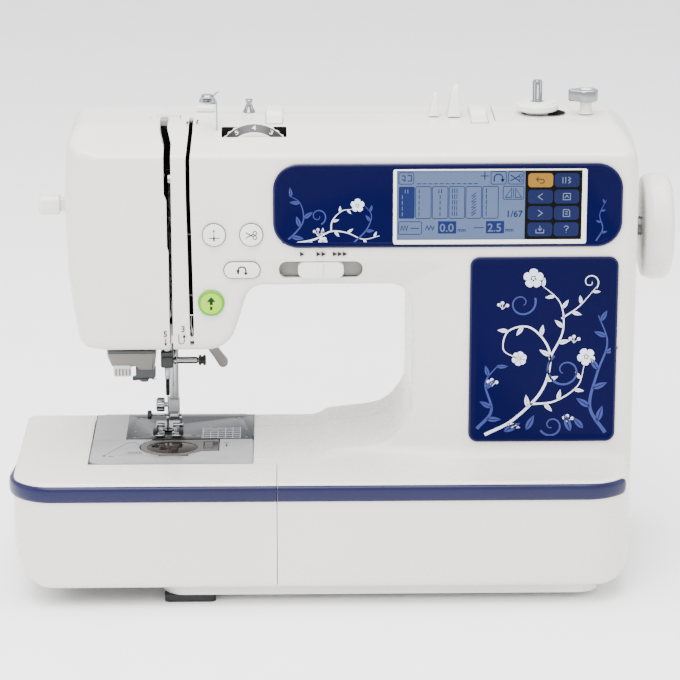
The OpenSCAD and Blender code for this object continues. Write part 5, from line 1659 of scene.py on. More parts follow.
@dataclass
class TopFittings:
    """Winder, spool rests and thread guides on the top."""

    winder: Point2 = (123.8, 17.0)
    stop: Point2 = (154.4, 13.6)
    guide_y: float = -18.0

    def build(self) -> None:
        """Builds each fitting."""
        self._winder()
        self._stop()
        self._fins()
        self._guides()

    def _winder(self) -> None:
        """Winder seat, its sprung shaft and the sunk cover beneath it."""
        x, y = self.winder
        t = AT.top
        seat = turned(
            "seat",
            [
                (7, t - 2), (7, t + 1.0), (12.4, t + 1.2), (13.5, t + 2.2), (13.5, t + 4.6),
                (12.9, t + 5.4), (11.6, t + 5.6), (11.0, t + 6.5), (7, t + 6.8), (4.4, t + 6.8),
                (4.2, t + 5.2), (0, t + 5.2),
            ],
            XY, (x, y), 72,
        )
        paint(seat, ABS_SATIN)
        shaft = turned(
            "shaft", [(3.1, t - 24), (3.1, t + 19.4), (2.6, t + 20.3), (1.4, t + 20.5), (0, t + 20.5)], XY,
            (x, y), 32,
        )
        cut(shaft, slab("slit", pad(x - 0.45, y - 5, x + 0.45, y + 5, 0), XY, t + 7.5, t + 17.5))
        paint(shaft, CHROME)
        made = merge("winder_seat", [seat, shaft])
        dress(made, CHROME, "winder", 0, 35)
        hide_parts("winder_spindle")
        hull = [
            (x + 8 + 10 * math.cos(a), y - 1 + 10 * math.sin(a))
            for a in np.linspace(-math.pi / 2 + 0.12, math.pi / 2 + 0.12, 20)
        ]
        hull += [
            (x + 10 * math.cos(a), y + 10 * math.sin(a))
            for a in np.linspace(math.pi / 2 + 0.12, 3 * math.pi / 2 + 0.12, 20)
        ]
        plate = bpy.data.objects["winder_blank"]
        cut(plate, slab("hole", hull, XY, t - 12, t + 3))
        # Painted shade: the bowl and the thin lining inside the recess are slate grey so that the sunk recess
        # reads dark
        bowl = slab("bowl", inset(hull, -2), XY, t - 16, t - 9.5)
        cut(bowl, slab("hole", inset(hull, 0.4), XY, t - 13, t + 3))
        shade_lining = slab("shade_lining", inset(hull, -0.02), XY, t - 10.5, t - 0.4)
        cut(shade_lining, slab("hole", inset(hull, 0.5), XY, t - 13, t + 3))
        paint(shade_lining, NYLON_GREY)
        cut(bowl, turned("bore", [(3.2, t - 20), (3.2, t - 10)], XY, (x, y), 32))
        paint(bowl, NYLON_GREY)
        paint(plate, ABS_WHITE)
        made = merge("winder_plate", [plate, bowl, shade_lining])
        dress(made, ABS_WHITE, ROOT, 0, 35)
        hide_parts("winder_cover")

    def _stop(self) -> None:
        """Bobbin stop: a lobed chrome cap on a white post."""
        x, y = self.stop
        t = AT.top
        post = paint(
            turned(
                "post", [(4.9, t - 0.2), (4.8, t + 0.6), (3.9, t + 1.4), (3.75, t + 2.6), (3.75, t + 8.5)],
                XY, (x, y), 40,
            ),
            ABS_SATIN,
        )
        lobes = rounded(
            [
                (x - 12.9, y, 2), (x - 2.5, y - 7, 7), (x + 5.5, y - 6, 3), (x + 7.9, y, 4),
                (x + 5.5, y + 6, 3), (x - 2.5, y + 7, 7),
            ],
            5,
        )
        cap = paint(slab("cap", lobes, XY, t + 7.6, t + 15.0, 0.8, 1.1, 4), CHROME)
        plug = paint(
            turned(
                "plug", [(3.4, t + 14.8), (3.3, t + 15.15), (2.2, t + 15.3), (0, t + 15.3)], XY, (x, y), 32,
            ),
            ABS_SATIN,
        )
        made = merge("winder_stop_cap", [post, cap, plug])
        dress(made, CHROME, ROOT, 0, 35)
        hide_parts("winder_stop")

    def _fins(self) -> None:
        """Two upright fins that hold spools and the folded spool pin."""
        parts = []
        for x0, x1, lean, high in ((54.6, 61.0, 3.4, 14.6), (66.4, 74.5, 3.5, 18.7)):
            loops = []
            for t in (0, 0.25, 0.5, 0.75, 0.88, 0.95, 0.985, 1.0):
                close = {0.88: 0.15, 0.95: 0.5, 0.985: 0.95, 1.0: 1.35}.get(t, 0.0)
                half = high * 0.5 * (1 - t) + 2.6 * t
                outline = pad(
                    x0 + lean * t + close, AT.shaft_y - half + close, x1 - 0.5 * t - close,
                    AT.shaft_y + half - close, max(0.5, 1.3 - close * 0.5), 15,
                )
                loops.append(lift(np.array(outline), XY, AT.top - 0.1 + high * t))
            parts.append(loft("fin", loops))
        made = merge("spool_fins", parts)
        dress(made, ABS_SATIN, ROOT, 0, 40)
        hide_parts("spool_stand")

    def _guides(self) -> None:
        """Pretension discs on their bracket, the small guide pin and the raised thread guide."""
        t, y = AT.top, self.guide_y
        x = AT.needle_x
        parts = []
        post = smooth_path(
            [
                (x + 34.2, y, t - 2.6), (x + 34.2, y, t + 9), (x + 34.0, y, t + 14.5),
                (x + 32.4, y, t + 17.0), (x + 33.2, y, t + 19.4), (x + 35.2, y + 0.2, t + 20.6),
            ],
            6,
        )
        section = np.array([(-0.45, -1.5, 0), (0.45, -1.5, 0), (0.45, 1.5, 0), (-0.45, 1.5, 0)])
        parts.append(loft("bracket", [q + section for q in post]))
        parts.append(
            slab("arm", pad(x + 27, y - 1.4, x + 34.2, y + 1.4, 0.6), XY, t + 13.0, t + 13.8, 0.2, 0.2)
        )
        for low, r in ((t + 13.9, 5.4), (t + 15.3, 5.1)):
            parts.append(
                turned(
                    "disc",
                    [
                        (1.2, low), (r - 1.4, low + 0.1), (r, low + 0.7), (r - 0.1, low + 1.0),
                        (r - 1.5, low + 0.75), (1.2, low + 0.9),
                    ],
                    XY, (x + 28.4, y), 48,
                )
            )
        parts.append(
            turned(
                "knob", [(2.8, t + 16.4), (3.9, t + 17.0), (4.0, t + 18.2), (3.3, t + 19.0), (0, t + 19.2)],
                XY, (x + 28.4, y), 40,
            )
        )
        for part in parts:
            paint(part, CHROME)
        gx, gy = x + 53.8, AT.shaft_y + 11
        cone = paint(
            turned(
                "cone", [(4.0, t - 0.4), (3.4, t + 0.7), (2.4, t + 2.8), (2.2, t + 3.8)], XY, (gx, gy), 40,
            ),
            CHROME,
        )
        pin = turned(
            "pin",
            [(1.8, t + 3), (1.8, t + 5.8), (2.4, t + 6.2), (2.5, t + 7.0), (1.8, t + 7.5), (0, t + 7.6)],
            XY, (gx, gy), 32,
        )
        paint(pin, CHROME)
        raised = paint(
            slab(
                "raised", pad(x + 20.4, AT.shaft_y + 11, x + 32, AT.shaft_y + 17, 1.5), XY, t - 0.6,
                t + 2.6, 0, 0.9,
            ),
            ABS_SATIN,
        )
        hooks = []
        for k, hx in enumerate((x + 15.6, x + 18.6, x + 21.8)):
            one = paint(
                tube(
                    "hook",
                    smooth_path(
                        [(hx, -7, t - 3.2), (hx - 0.2, -9, t - 0.4), (hx + 0.4, -11.5, t + 0.2 + 0.5 * k)],
                        5,
                    ),
                    0.55, 8,
                ),
                CHROME_DARK,
            )
            hooks.append(one)
        made = merge("thread_fittings", parts + [cone, pin, raised] + hooks)
        dress(made, CHROME, ROOT, 0, 35)
        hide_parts("thread_guides")


# ---- Needle, foot and threader ----


@dataclass
class SewingHead:
    """Pieces under the head: clamp, threader, presser lever and foot."""

    needle: Point2 = (-112.5, 5.0)
    bar: Point2 = (-108.7, 17.0)

    def build(self) -> None:
        """Builds each piece."""
        self._clamp()
        self._threader()
        self._lever()
        self._foot()
        self._channels()

    def _clamp(self) -> None:
        """Needle clamp and its thumb screw."""
        x, y = self.needle
        block = slab("block", pad(x - 4.1, y - 4.6, x + 4.1, y + 4.6, 2.2), XY, 127.7, 138.5, 0.7, 0.7)
        cut(block, slab("step", pad(x - 6, y - 6, x + 6, y - 3.4, 0), XY, 134.9, 136.3))
        nose = turned("nose", [(1.3, 119.0), (1.8, 119.4), (1.8, 128)], XY, (x, y), 24)
        paint(block, NYLON_BLACK)
        paint(nose, CHROME)
        made = merge("clamp_block", [block, nose])
        dress(made, NYLON_BLACK, "needle_unit", 0.2, 35)
        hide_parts("needle_clamp")
        z = 131.7
        shaft = turned(
            "shaft",
            [
                (1.4, -109.0), (1.4, -108.2), (2.5, -108.0), (2.6, -107.6), (2.6, -106.6), (2.2, -106.2),
                (2.2, -93.4), (1.6, -92.8), (1.6, -92.3),
            ],
            YZ, (y, z), 36,
        )
        paint(shaft, CHROME)
        stations = [
            (-92.5, 1.6, 0), (-92.3, 2.9, 0.4), (-91.9, 3.4, 1), (-90.9, 3.4, 1), (-90.4, 2.5, 0.3),
            (-89.7, 2.5, 0.3), (-89.2, 3.4, 1), (-88.0, 3.4, 1), (-87.6, 2.9, 0.4), (-87.5, 1.2, 0),
        ]
        knob = paint(knurled("knob", stations, YZ, (y, z), 60, 0.45), NYLON_BLACK)
        made = merge("clamp_thumbscrew", [shaft, knob])
        dress(made, CHROME, "clamp_thumbscrew", 0, 30)
        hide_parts("clamp_screw")
        rib = turned(
            "needle_shank",
            [(0.9, 119.4)] + [
                (1.15 + 0.35 * (i % 2), 119.0 - i * 0.55) for i in range(20)
            ] + [(0.6, 108.0)],
            XY, (x, y), 20,
        )
        dress(rib, CHROME_DARK, "needle_unit", 0, 40)

    def _threader(self) -> None:
        """Needle threader and its lever on the left of the head."""
        x, y = self.needle
        outline = rounded(
            [
                (x - 38.5, 140), (x - 38.3, 136.5, 2), (x - 35.4, 129.0, 2.5), (x - 25, 128.4, 2),
                (x - 20.5, 129.2, 2), (x - 17.5, 126.8, 1.5), (x - 8.2, 126.6, 1), (x - 6.8, 137.5, 1),
                (x - 6.8, 140),
            ],
            9,
        )
        body = slab("body", outline, XZ, y - 6, y + 5, 1.6, 0.8)
        tab = slab("tab", pad(x - 34.4, 122.8, x - 23.2, 130.5, 1.2), XZ, y - 7, y - 4, 0.7, 0.4)
        paint(body, ACETAL_GREY)
        paint(tab, ABS_SATIN)
        ribs = []
        for i in range(5):
            rib = paint(
                slab(
                    "rib", pad(x - 33.2 + i * 2.2, 123.6, x - 32.2 + i * 2.2, 128.2, 0.4), XZ, y - 7.35,
                    y - 6.9, 0.15, 0,
                ),
                ACETAL_GREY,
            )
            ribs.append(rib)
        lip = paint(
            slab("lip", pad(x - 37.6, 137.8, x - 7.6, 140.2, 0.8), XZ, y - 6.5, y + 4, 0.5, 0.5),
            NYLON_GREY,
        )
        claw = rounded(
            [
                (x - 20.4, 127.4), (x - 20.4, 121.4, 1), (x - 22.6, 120.6, 0.4), (x - 22.4, 118.6, 0.4),
                (x - 18.4, 118.9, 0.8), (x - 16.2, 117.6, 0.8), (x - 12.6, 117.8, 0.8),
                (x - 11.6, 120.2, 0.6), (x - 9.4, 119.2, 0.6), (x - 7.6, 121, 0.8), (x - 7.4, 127.4),
            ],
            12,
        )
        hook = paint(slab("hook", claw, XZ, y - 2.2, y + 2.2, 0.6, 0.6), NYLON_GREY)
        wire = paint(
            tube(
                "wire", smooth_path([(x - 10, y, 119.6), (x - 8.4, y, 119.0), (x - 7.0, y, 119.2)], 5),
                0.35, 8,
            ),
            CHROME,
        )
        rod = paint(turned("rod", [(2.5, 139.5), (2.5, 187), (0.5, 187)], XY, (x - 27.5, y), 24), CHROME)
        made = merge("threader_body", [body, tab, lip, hook, wire, rod] + ribs)
        dress(made, ACETAL_GREY, "threader", 0, 35)
        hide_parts("threader_unit")
        pad_ = slab("pad", pad(-6, 230.8, 6, 242.3, 2.6), YZ, -191.5, -178.2, 2.2, 0.8, 5)
        neck = slab("neck", pad(-2.6, 232.7, 2.6, 240.7, 0.8), YZ, -178.4, -169.0)
        made = merge("threader_pad", [pad_, neck])
        dress(made, ABS_SATIN, "threader_handle", 0, 40)
        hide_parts("threader_lever")

    def _lever(self) -> None:
        """Presser lever behind the head."""
        x0, z0 = AT.needle_x + 17.5, AT.head_low - 5
        swing = math.radians(55.4)

        def place(along: float, across: float) -> Point2:
            return (
                x0 + along * math.cos(swing) + across * math.sin(swing),
                z0 - along * math.sin(swing) + across * math.cos(swing),
            )

        outline = [
            place(a, b)
            for a, b in rounded(
                [
                    (-3.5, -2.6, 2.4), (26, -2.9, 1), (34.4, -3.4, 3.0), (34.6, 3.4, 3.0), (26, 2.9, 1),
                    (-3.5, 2.6, 2.4),
                ],
                9,
            )
        ]
        blade = slab("blade", outline, XZ, 29.4, 36.0, 1.3, 1.3)
        pin = turned("pin", [(2.5, 21.8), (2.5, 30)], XZ, (x0, z0), 24)
        paint(blade, ACETAL_GREY)
        paint(pin, STEEL_GROUND)
        made = merge("presser_blade", [blade, pin])
        dress(made, ACETAL_GREY, "lift_lever", 0, 40)
        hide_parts("presser_lever")

    def _foot(self) -> None:
        """Foot holder, its screw and the presser foot."""
        x, y = self.bar
        block = slab("block", pad(x - 4.6, y - 4.5, x + 3.4, y + 4.4, 1.2), XY, 91.7, 102.5, 0.5, 0.6)
        head = slab("head", pad(x - 3, y - 10, x + 3, y + 4.4, 1), XY, 90.2, 94.7, 0.4, 0.5)
        paint(block, PLATE_SILVER)
        paint(head, CHROME)
        made = merge("holder_block", [block, head])
        dress(made, CHROME, "presser", 0.1, 35)
        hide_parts("foot_holder")
        z = 98.0
        stations = [
            (-120.7, 2.4, 0), (-120.5, 3.8, 0), (-119.8, 4.6, 1), (-115.6, 4.6, 1), (-115.0, 4.0, 0),
            (-114.8, 1.6, 0), (-112.1, 1.6, 0),
        ]
        made = knurled("holder_thumbscrew", stations, YZ, (y, z), 48, 0.4)
        dress(made, CHROME, "foot_thumbscrew", 0, 30)
        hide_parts("foot_screw")
        self._sole()

    def _sole(self) -> None:
        """Buttonhole-style foot: sole, toes, cheeks, cross pin and the small sensor rod."""
        nx, ny = self.needle
        x, y = self.bar
        z = AT.bed + 0.4
        sole = slab("sole", pad(nx - 8.6, ny - 4, nx + 8.6, ny + 20, 1.4), XY, z, z + 2, 0.25, 0.5)
        toes = [
            slab(
                "toe", pad(nx + s * 5.4 - 3.2, ny - 10, nx + s * 5.4 + 3.2, ny - 2, 1.6), XY, z + 0.6,
                z + 2.0, 0.2, 0.5,
            )
            for s in (-1, 1)
        ]
        cut(sole, slab("hole", pad(nx - 3.6, ny - 5, nx + 3.6, ny + 2, 0.6), XY, z - 1, z + 4))
        for toe in toes:
            paint(toe, CHROME)
        paint(sole, CHROME)
        cheeks = []
        for cx in (x - 5.1, x + 3.4):
            side = rounded([(y - 10, z + 1), (y - 10, 93.2, 1.6), (y - 5.5, 94.3, 1.6), (y - 4.0, z + 1)], 12)
            cheek = paint(slab("cheek", side, YZ, cx, cx + 1.7, 0.3, 0.3), CHROME)
            cheeks.append(cheek)
        bridge = slab(
            "bridge", pad(nx - 7.6, ny - 1.6, nx + 9.8, ny + 1.6, 1), XY, z + 4.2, z + 6.8, 0.5, 0.8,
        )
        cut(bridge, slab("hole", pad(nx - 2.2, ny - 3, nx + 3.0, ny + 3, 0.6), XY, z + 3, z + 9))
        paint(bridge, CHROME)
        legs = []
        for lx in (nx - 7.0, nx + 6.6):
            leg = paint(
                slab("leg", pad(lx - 1.0, ny - 1.2, lx + 1.0, ny + 1.2, 0.4), XY, z + 1.6, z + 4.6), CHROME,
            )
            legs.append(leg)
        pin = paint(turned("pin", [(1.0, x - 5.0), (1.0, x + 5.0)], YZ, (y - 8.2, 92.3), 20), STEEL_GROUND)
        blocks = []
        for bx in (nx - 9.4, nx + 7.2):
            block = paint(
                slab(
                    "block", pad(bx - 0.2, ny - 9.6, bx + 2.6, ny - 6.0, 0.5), XY, z + 1.4, z + 5.6, 0.3,
                    0.5,
                ),
                NYLON_BLACK,
            )
            blocks.append(block)
        knob = paint(
            turned(
                "knob", [(1.4, -126.6), (2.7, -126.3), (3.0, -125.6), (3.0, -124.0), (2.2, -123.6)], YZ,
                (y, 91), 28,
            ),
            NYLON_BLACK,
        )
        rod = paint(turned("rod", [(0.9, -123.8), (0.9, -112.6)], YZ, (y, 91), 16), CHROME)
        made = merge("foot_sole", [sole, bridge, pin, knob, rod] + toes + cheeks + legs + blocks)
        dress(made, CHROME, "foot", 0.08, 35)
        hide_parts("presser_foot")

    def _channels(self) -> None:
        """Near-black walls behind the two thread slots, clear of the take-up lever: a dark lining that also
        paints the shade inside the slots. Two more dark plates are painted shade at the ends of the dial's
        slot.
        """
        x = AT.needle_x
        front, back, high = AT.face + 2.9, -14.0, 263.0
        walls = [
            (x - 5.9, x - 5.1, front, back, 158.5, 282), (x + 6.7, x + 7.3, front, back, 158.5, 284),
            (x - 5.9, x + 2.9, back, back + 0.7, 158.5, 250),
            (x + 14.6, x + 15.2, front, back - 1.4, 158.5, 284),
            (x + 20.2, x + 20.8, front, back - 1.4, 158.5, 286),
            (x + 14.6, x + 20.8, back - 1.4, back - 0.7, 158.5, high),
            (x - 5.9, x - 5.1, back, -3.6, high, 287), (x + 6.7, x + 7.3, back, -3.6, high, 287),
            (x - 5.9, x + 7.3, -4.4, -3.6, high, 287), (x + 14.6, x + 15.2, back - 1.4, 9.2, high, 287),
            (x + 20.2, x + 20.8, back - 1.4, 9.2, high, 287), (x + 14.6, x + 20.8, 8.5, 9.2, high, 287),
            (x + 14.6, x + 20.8, back - 1.4, 9.2, high, high + 0.7),
            (x - 5.9, x + 7.3, back, -3.6, high, high + 0.7), (-75.3, -62.0, -16.3, -15.6, 264, 289.5),
            (-48.0, -35.2, -16.3, -15.6, 264, 289.5),
        ]
        made = []
        for x0, x1, y0, y1, z0, z1 in walls:
            front_top = min(z1, AT.crease_high - 4.5) if y0 < -30 else z1
            made.append(
                slab(
                    "wall",
                    [(y0, z0), (y1, z0), (y1, z1), (max(y0, -17), z1), (y0, front_top)] if y0 < -17 else [
                        (y0, z0), (y1, z0), (y1, z1), (y0, z1),
                    ],
                    YZ, x0, x1,
                )
            )
        channel = merge("thread_channels", made)
        dress(channel, SHADOW, ROOT, 0, 35)
        bits = []
        for z, finish in ((228, NYLON_GREY), (189, NYLON_GREY), (176, CHROME), (167, ACETAL_GREY)):
            bit = paint(turned("bit", [(0.5, x + 15.2), (0.5, x + 20.2)], YZ, (AT.face + 5.5, z), 12), finish)
            bits.append(bit)
        spring = tube(
            "spring",
            smooth_path(
                [
                    (x + 17.7, AT.face + 4.4, 176), (x + 17.2, AT.face + 3.4, 171),
                    (x + 18.2, AT.face + 3.2, 166), (x + 17.7, AT.face + 4.6, 162.5),
                ],
                8,
            ),
            0.55, 10,
        )
        paint(spring, CHROME)
        knob = paint(
            turned("knob", [(1.0, AT.face + 3.4), (1.05, AT.face + 6)], XZ, (x + 17.7, 163.6), 20),
            CHROME_DARK,
        )
        made_bits = merge("check_spring", bits + [spring, knob])
        dress(made_bits, CHROME, ROOT, 0, 40)
        cap = slab("slot_cap", pad(x - 1.6, -5.2, x + 3.4, 6.0, 0.9), XY, 288.2, 291.6, 0, 0.4)
        dress(cap, ACETAL_GREY, ROOT, 0, 40)


# ---- Bed plates ----


@dataclass
class BedPlates:
    """Free arm, needle plate, slide plate, see-through cover and bobbin."""

    hook: Point2 = (-109.0, -23.0)

    def build(self) -> None:
        """Builds each piece."""
        self._arm()
        self._needle_plate()
        self._slide_plate()
        self._window()
        self._bobbin()

    def _arm(self) -> None:
        """Free arm shell."""
        outer = pad(-161, -55, -57, 47, 9)
        shell = slab("free_arm_shell", outer, XY, 47, 82, 2.0, 0.5)
        cut(shell, slab("hollow", pad(-158.5, -52.5, -56, 44.5, 0), XY, 49.5, 79.4))
        cut(shell, slab("bay", pad(-139.6, -7.1, -50, 45.05, 0), XY, 70, 90))
        cut(shell, slab("bay", pad(-170, -60, -50, -7, 0), XY, 79.4, 90))
        dress(shell, ABS_WHITE, ROOT, 0.2, 40)
        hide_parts("free_arm")

    def _needle_plate(self) -> None:
        """Steel plate with the needle hole, feed slots, screws and stitch guide lines."""
        x0, y0, x1, y1 = -139.5, -7.0, -57.05, 44.95
        nx, ny = -112.5, 5.0
        plate = slab("throat_plate", pad(x0, y0 + 0.05, x1, y1, 0), XY, 79.5, 82.0)
        cut(plate, slab("hole", pad(nx - 3.7, ny - 1.9, nx + 3.7, ny + 1.9, 1.6), XY, 78, 84))
        for rx in (nx - 5, nx + 5):
            cut(plate, slab("slot", pad(rx - 2.2, ny - 1.49, rx + 2.2, ny + 19.5, 0.6), XY, 78, 84))
        cut(plate, [slab("screw", ring(a, b, 2.4, 24), XY, 81.3, 84) for a, b in ((-131.5, 37), (-67, 37))])
        dress(plate, STAINLESS, ROOT, 0.15, 40)
        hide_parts("needle_plate")
        top = FlatDrawing(82.0)
        for i in range(6):
            y = y0 + 3.5 + i * 3.8
            top.line([(-91, y), (-66, y)], 0.45, INK_WHITE)
        for i in range(6):
            x = -90 + i * 4.8
            top.line([(x, y0 + 2.0), (x, y0 + 24)], 0.3, INK_WHITE)
        top.line([(-97.5, y0 + 8.4), (-94.6, y0 + 8.4)], 1.1, INK_DARK)
        for a, b in ((-134, y0 + 4), (-134, y0 + 16), (-133, y0 + 28), (-62, y0 + 4), (-62, y0 + 20)):
            top.area(ring(a, b, 0.9, 16), STEEL_GROUND, 0.1)
        top.area(ring(-83, y0 + 19.5, 3.4, 28), STEEL_GROUND, 0.12)
        top.line([(-86.8, y0 + 20.5), (-83, y0 + 22.4), (-79.2, y0 + 20.5)], 0.8, INK_DARK)
        for a, b in ((-131.5, 37), (-67, 37)):
            screw = paint(
                turned("screw", [(2.2, 81.2), (2.2, 81.7), (1.7, 81.95), (0, 82.0)], XY, (a, b), 24),
                STEEL_GROUND,
            )
            top.parts.append(screw)
        top.finish_as("plate_marks", ROOT)

    def outline(self) -> list[Point2]:
        """Outline of the see-through cover: round at the left, a narrow tail to the right."""
        cx, cy = self.hook
        left = [
            (cx + 20.5 * math.cos(a), cy + 1 + 17.0 * math.sin(a))
            for a in np.linspace(math.radians(128), math.radians(248), 26)
        ]
        return left + [
            (cx + 2, -39.4), (cx + 9, -37.6), (cx + 18.6, -30.5), (cx + 29.4, -29.4), (cx + 29.4, -7.4),
        ]

    def _slide_plate(self) -> None:
        """Silver plate in front of the needle plate, cut out around the see-through cover."""
        plate = slab(
            "slide_plate",
            rounded([(-161, -55, 9), (-57.05, -55, 0), (-57.05, -7.05, 0), (-161, -7.05, 0)]), XY, 79.5,
            82.0,
        )
        hole = [tuple(q) for q in inset(self.outline(), -0.8)]
        hole[-1] = (hole[-1][0], -6)
        hole[0] = (hole[0][0], -6)
        cut(plate, slab("window", [(min(a, -89.0), b) for a, b in hole], XY, 78, 84))
        cut(plate, slab("hinge", pad(-117.5, -40.5, -98.5, -37.2, 0.6), XY, 80.2, 84))
        cut(plate, slab("tail", [(-89.4, -31.2), (-78.9, -30.8), (-78.9, -6), (-89.4, -6)], XY, 80.1, 84))
        cut(plate, slab("finger", pad(-137, -35.5, -128, -31.5, 0.8), XY, 80.6, 84))
        dress(plate, PLATE_SILVER, ROOT, 0.12, 40)
        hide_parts("plate_cover")
        strip = slab("arm_strip", pad(-160.9, -6.95, -139.7, 44.6, 0), XY, 81.9, 82.06)
        dress(strip, PLATE_SILVER, ROOT, 0, 40)
        top = FlatDrawing(82.0)
        curve = smooth_path(
            [(-152, -39, 0), (-146, -28, 0), (-138, -14.5, 0), (-133, -13, 0), (-130.5, -19, 0)], 8,
        )
        top.line([(q[0], q[1]) for q in curve], 0.4, INK_GREY)
        top.area([(-153.2, -40.4), (-150.8, -40.6), (-151.6, -37.4)], INK_GREY)
        top.line([(-149, -40.4), (-145.6, -40.4)], 0.7, INK_GREY)
        top.line([(-74.5, -22), (-74.5, -17)], 0.9, INK_DARK)
        top.line([(-76.5, -15), (-73, -13.8)], 0.4, INK_GREY)
        # Painted shadow: a dark strip at the plate's right edge
        top.area([(-57.9, -9.4), (-57.1, -9.4), (-57.1, -0.5), (-57.9, -0.5)], SHADOW, 0.08)
        top.line([(-160.7, -54), (-160.7, 44)], 0.5, INK_GREY)
        top.line([(-57.35, -54), (-57.35, 44)], 0.5, INK_GREY)
        top.finish_as("slide_plate_marks", ROOT)

    def _window(self) -> None:
        """See-through bobbin cover, hinged at its front edge."""
        cx, cy = self.hook
        rim = slab("rim", self.outline(), XY, 80.2, 82.0, 0.15, 0.4)
        eye = [
            (cx + 16.4 * math.cos(a), cy - 0.2 + 12.4 * math.sin(a))
            for a in np.linspace(0, 2 * math.pi, 49)[:-1]
        ]
        cut(rim, slab("eye", eye, XY, 79, 84))
        cut(rim, slab("latch", pad(-89.3, -26.8, -80.1, -11.2, 0.8), XY, 80.3, 84))
        paint(rim, PC_FROST)
        lens = paint(slab("lens", inset(eye, 0.02), XY, 80.3, 81.8, 0, 0.3), PC_SMOKE)
        made = merge("bobbin_window", [rim, lens])
        dress(made, PC_SMOKE, "bobbin_lid", 0, 40)
        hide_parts("bobbin_cover")

    def _bobbin(self) -> None:
        """Clear bobbin."""
        x, y = self.hook
        profile = [
            (3.2, 69.9), (10.1, 69.9), (10.2, 70.1), (10.2, 70.8), (9.6, 70.9), (4.6, 71.0), (4.5, 77.8),
            (9.6, 77.9), (10.2, 78.0), (10.2, 78.7), (10.1, 78.9), (3.2, 78.9),
        ]
        loops = [lift(np.array(ring(x, y, r, 56)), XY, z) for r, z in profile]
        made = paint(loft("bobbin_spool", loops, closed=True), PC_CLEAR)
        wound = [
            lift(np.array(ring(x, y, r, 56)), XY, z)
            for r, z in [(4.55, 71.1)] + [
                (8.3 + 0.14 * (i % 2), 71.1 + i * 0.33) for i in range(21)
            ] + [(4.55, 77.7)]
        ]
        thread = paint(loft("thread", wound, closed=True), THREAD)
        made = merge("bobbin_spool", [made, thread])
        dress(made, PC_CLEAR, "bobbin_body", 0, 35)
        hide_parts("bobbin")


class FlatDrawing(Drawing):
    """Thin printed marks on a level surface."""

    def area(self, outline: Sequence[Point2], finish: Finish, height: float | None = None) -> None:
        """Adds a filled outline."""
        rise = height or self.height
        made = paint(
            slab("mark", np.add(outline, self.origin), XY, self.depth - 0.02, self.depth + rise), finish,
        )
        self.parts.append(made)

    def line(
        self, points: Sequence[Point2], width: float | Sequence[float], finish: Finish,
        height: float | None = None,
    ) -> None:
        """Adds a stroke."""
        before = len(self.parts)
        keep, self.depth = self.depth, 0.0
        super().line(points, width, finish, height)
        self.depth = keep
        for made in self.parts[before:]:
            for v in made.data.vertices:
                v.co = Vector((v.co.x, v.co.z, self.depth * MM - v.co.y))
            outward(made)


# ---- Vine pattern ----


@dataclass
class Vine:
    """Leafy scrollwork printed on a navy panel."""

    draw: Drawing

    def leaf(self, x: float, z: float, angle: float, length: float, ink: Finish) -> None:
        """Pointed leaf with a narrow gap along its middle."""
        t = np.linspace(0, 1, 9)
        half = 0.36 * length * np.sin(math.pi * t ** 0.8) * 0.5
        c, s = math.cos(angle), math.sin(angle)
        for side in (-1, 1):
            outer = [
                (x + c * a * length - s * side * h, z + s * a * length + c * side * h)
                for a, h in zip(t, half)
            ]
            inner = [
                (x + c * a * length - s * side * h * 0.14, z + s * a * length + c * side * h * 0.14)
                for a, h in zip(t[1:-1], half[1:-1])
            ]
            self.draw.area(outer + inner[::-1], ink)

    def flower(
        self, x: float, z: float, radius: float, ink: Finish, petals: int = 5, turn: float = 0.3,
    ) -> None:
        """Open flower with separate petals around a small centre."""
        for i in range(petals):
            a = turn + 2 * math.pi * i / petals
            cx, cz = x + math.cos(a) * radius * 0.62, z + math.sin(a) * radius * 0.62
            shape = []
            for b in np.linspace(0, 2 * math.pi, 13)[:-1]:
                u, v = math.cos(b) * radius * 0.4, math.sin(b) * radius * 0.36 * (1.15 + 0.25 * math.cos(b))
                shape.append((cx + u * math.cos(a) - v * math.sin(a), cz + u * math.sin(a) + v * math.cos(a)))
            self.draw.area(shape, ink)
        self.draw.area(ring(x, z, radius * 0.16, 12), ink)

    def berries(self, x: float, z: float, ink: Finish, size: float = 0.9) -> None:
        """Spray of three berries on short stalks."""
        for dx, dz in ((0, 4.2), (3.0, 2.6), (-2.2, 3.0)):
            self.draw.line([(x, z), (x + dx * 0.5, z + dz * 0.6), (x + dx, z + dz)], 0.35, ink)
            self.draw.area(ring(x + dx, z + dz, size, 12), ink)

    def branch(
        self, points: Sequence[Point2], width: float, places: Sequence[float], length: float, ink: Finish,
    ) -> None:
        """Curved stem that thins towards its tip, with leaves on both sides in turn.

        Args:
            points: points that the stem passes through.
            width: width of the stem at its foot.
            places: where the leaves are, from 0 at the foot to 1 at the tip.
            length: length of a leaf near the foot.
            ink: ink of stem and leaves.
        """
        line = smooth_path(points, 9)
        self.draw.line(line, width * (1 - 0.75 * np.linspace(0, 1, len(line))), ink)
        for i, place in enumerate(places):
            k = min(int(place * (len(line) - 1)), len(line) - 2)
            way = line[k + 1] - line[k]
            angle = math.atan2(way[1], way[0]) + (0.9 if i % 2 else -0.9)
            self.leaf(line[k][0], line[k][1], angle, length * (1 - 0.3 * place), ink)

    def curl(
        self, x: float, z: float, radius: float, start: float, turns: float, width: float, ink: Finish,
    ) -> None:
        """Spiral tendril that ends at its middle."""
        t = np.linspace(0, 1, int(26 * abs(turns)) + 6)
        r = radius * (1 - 0.82 * t)
        a = start + turns * 2 * math.pi * t
        self.draw.line(
            [(x + q * math.cos(b), z + q * math.sin(b)) for q, b in zip(r, a)], width * (1 - 0.6 * t), ink,
        )


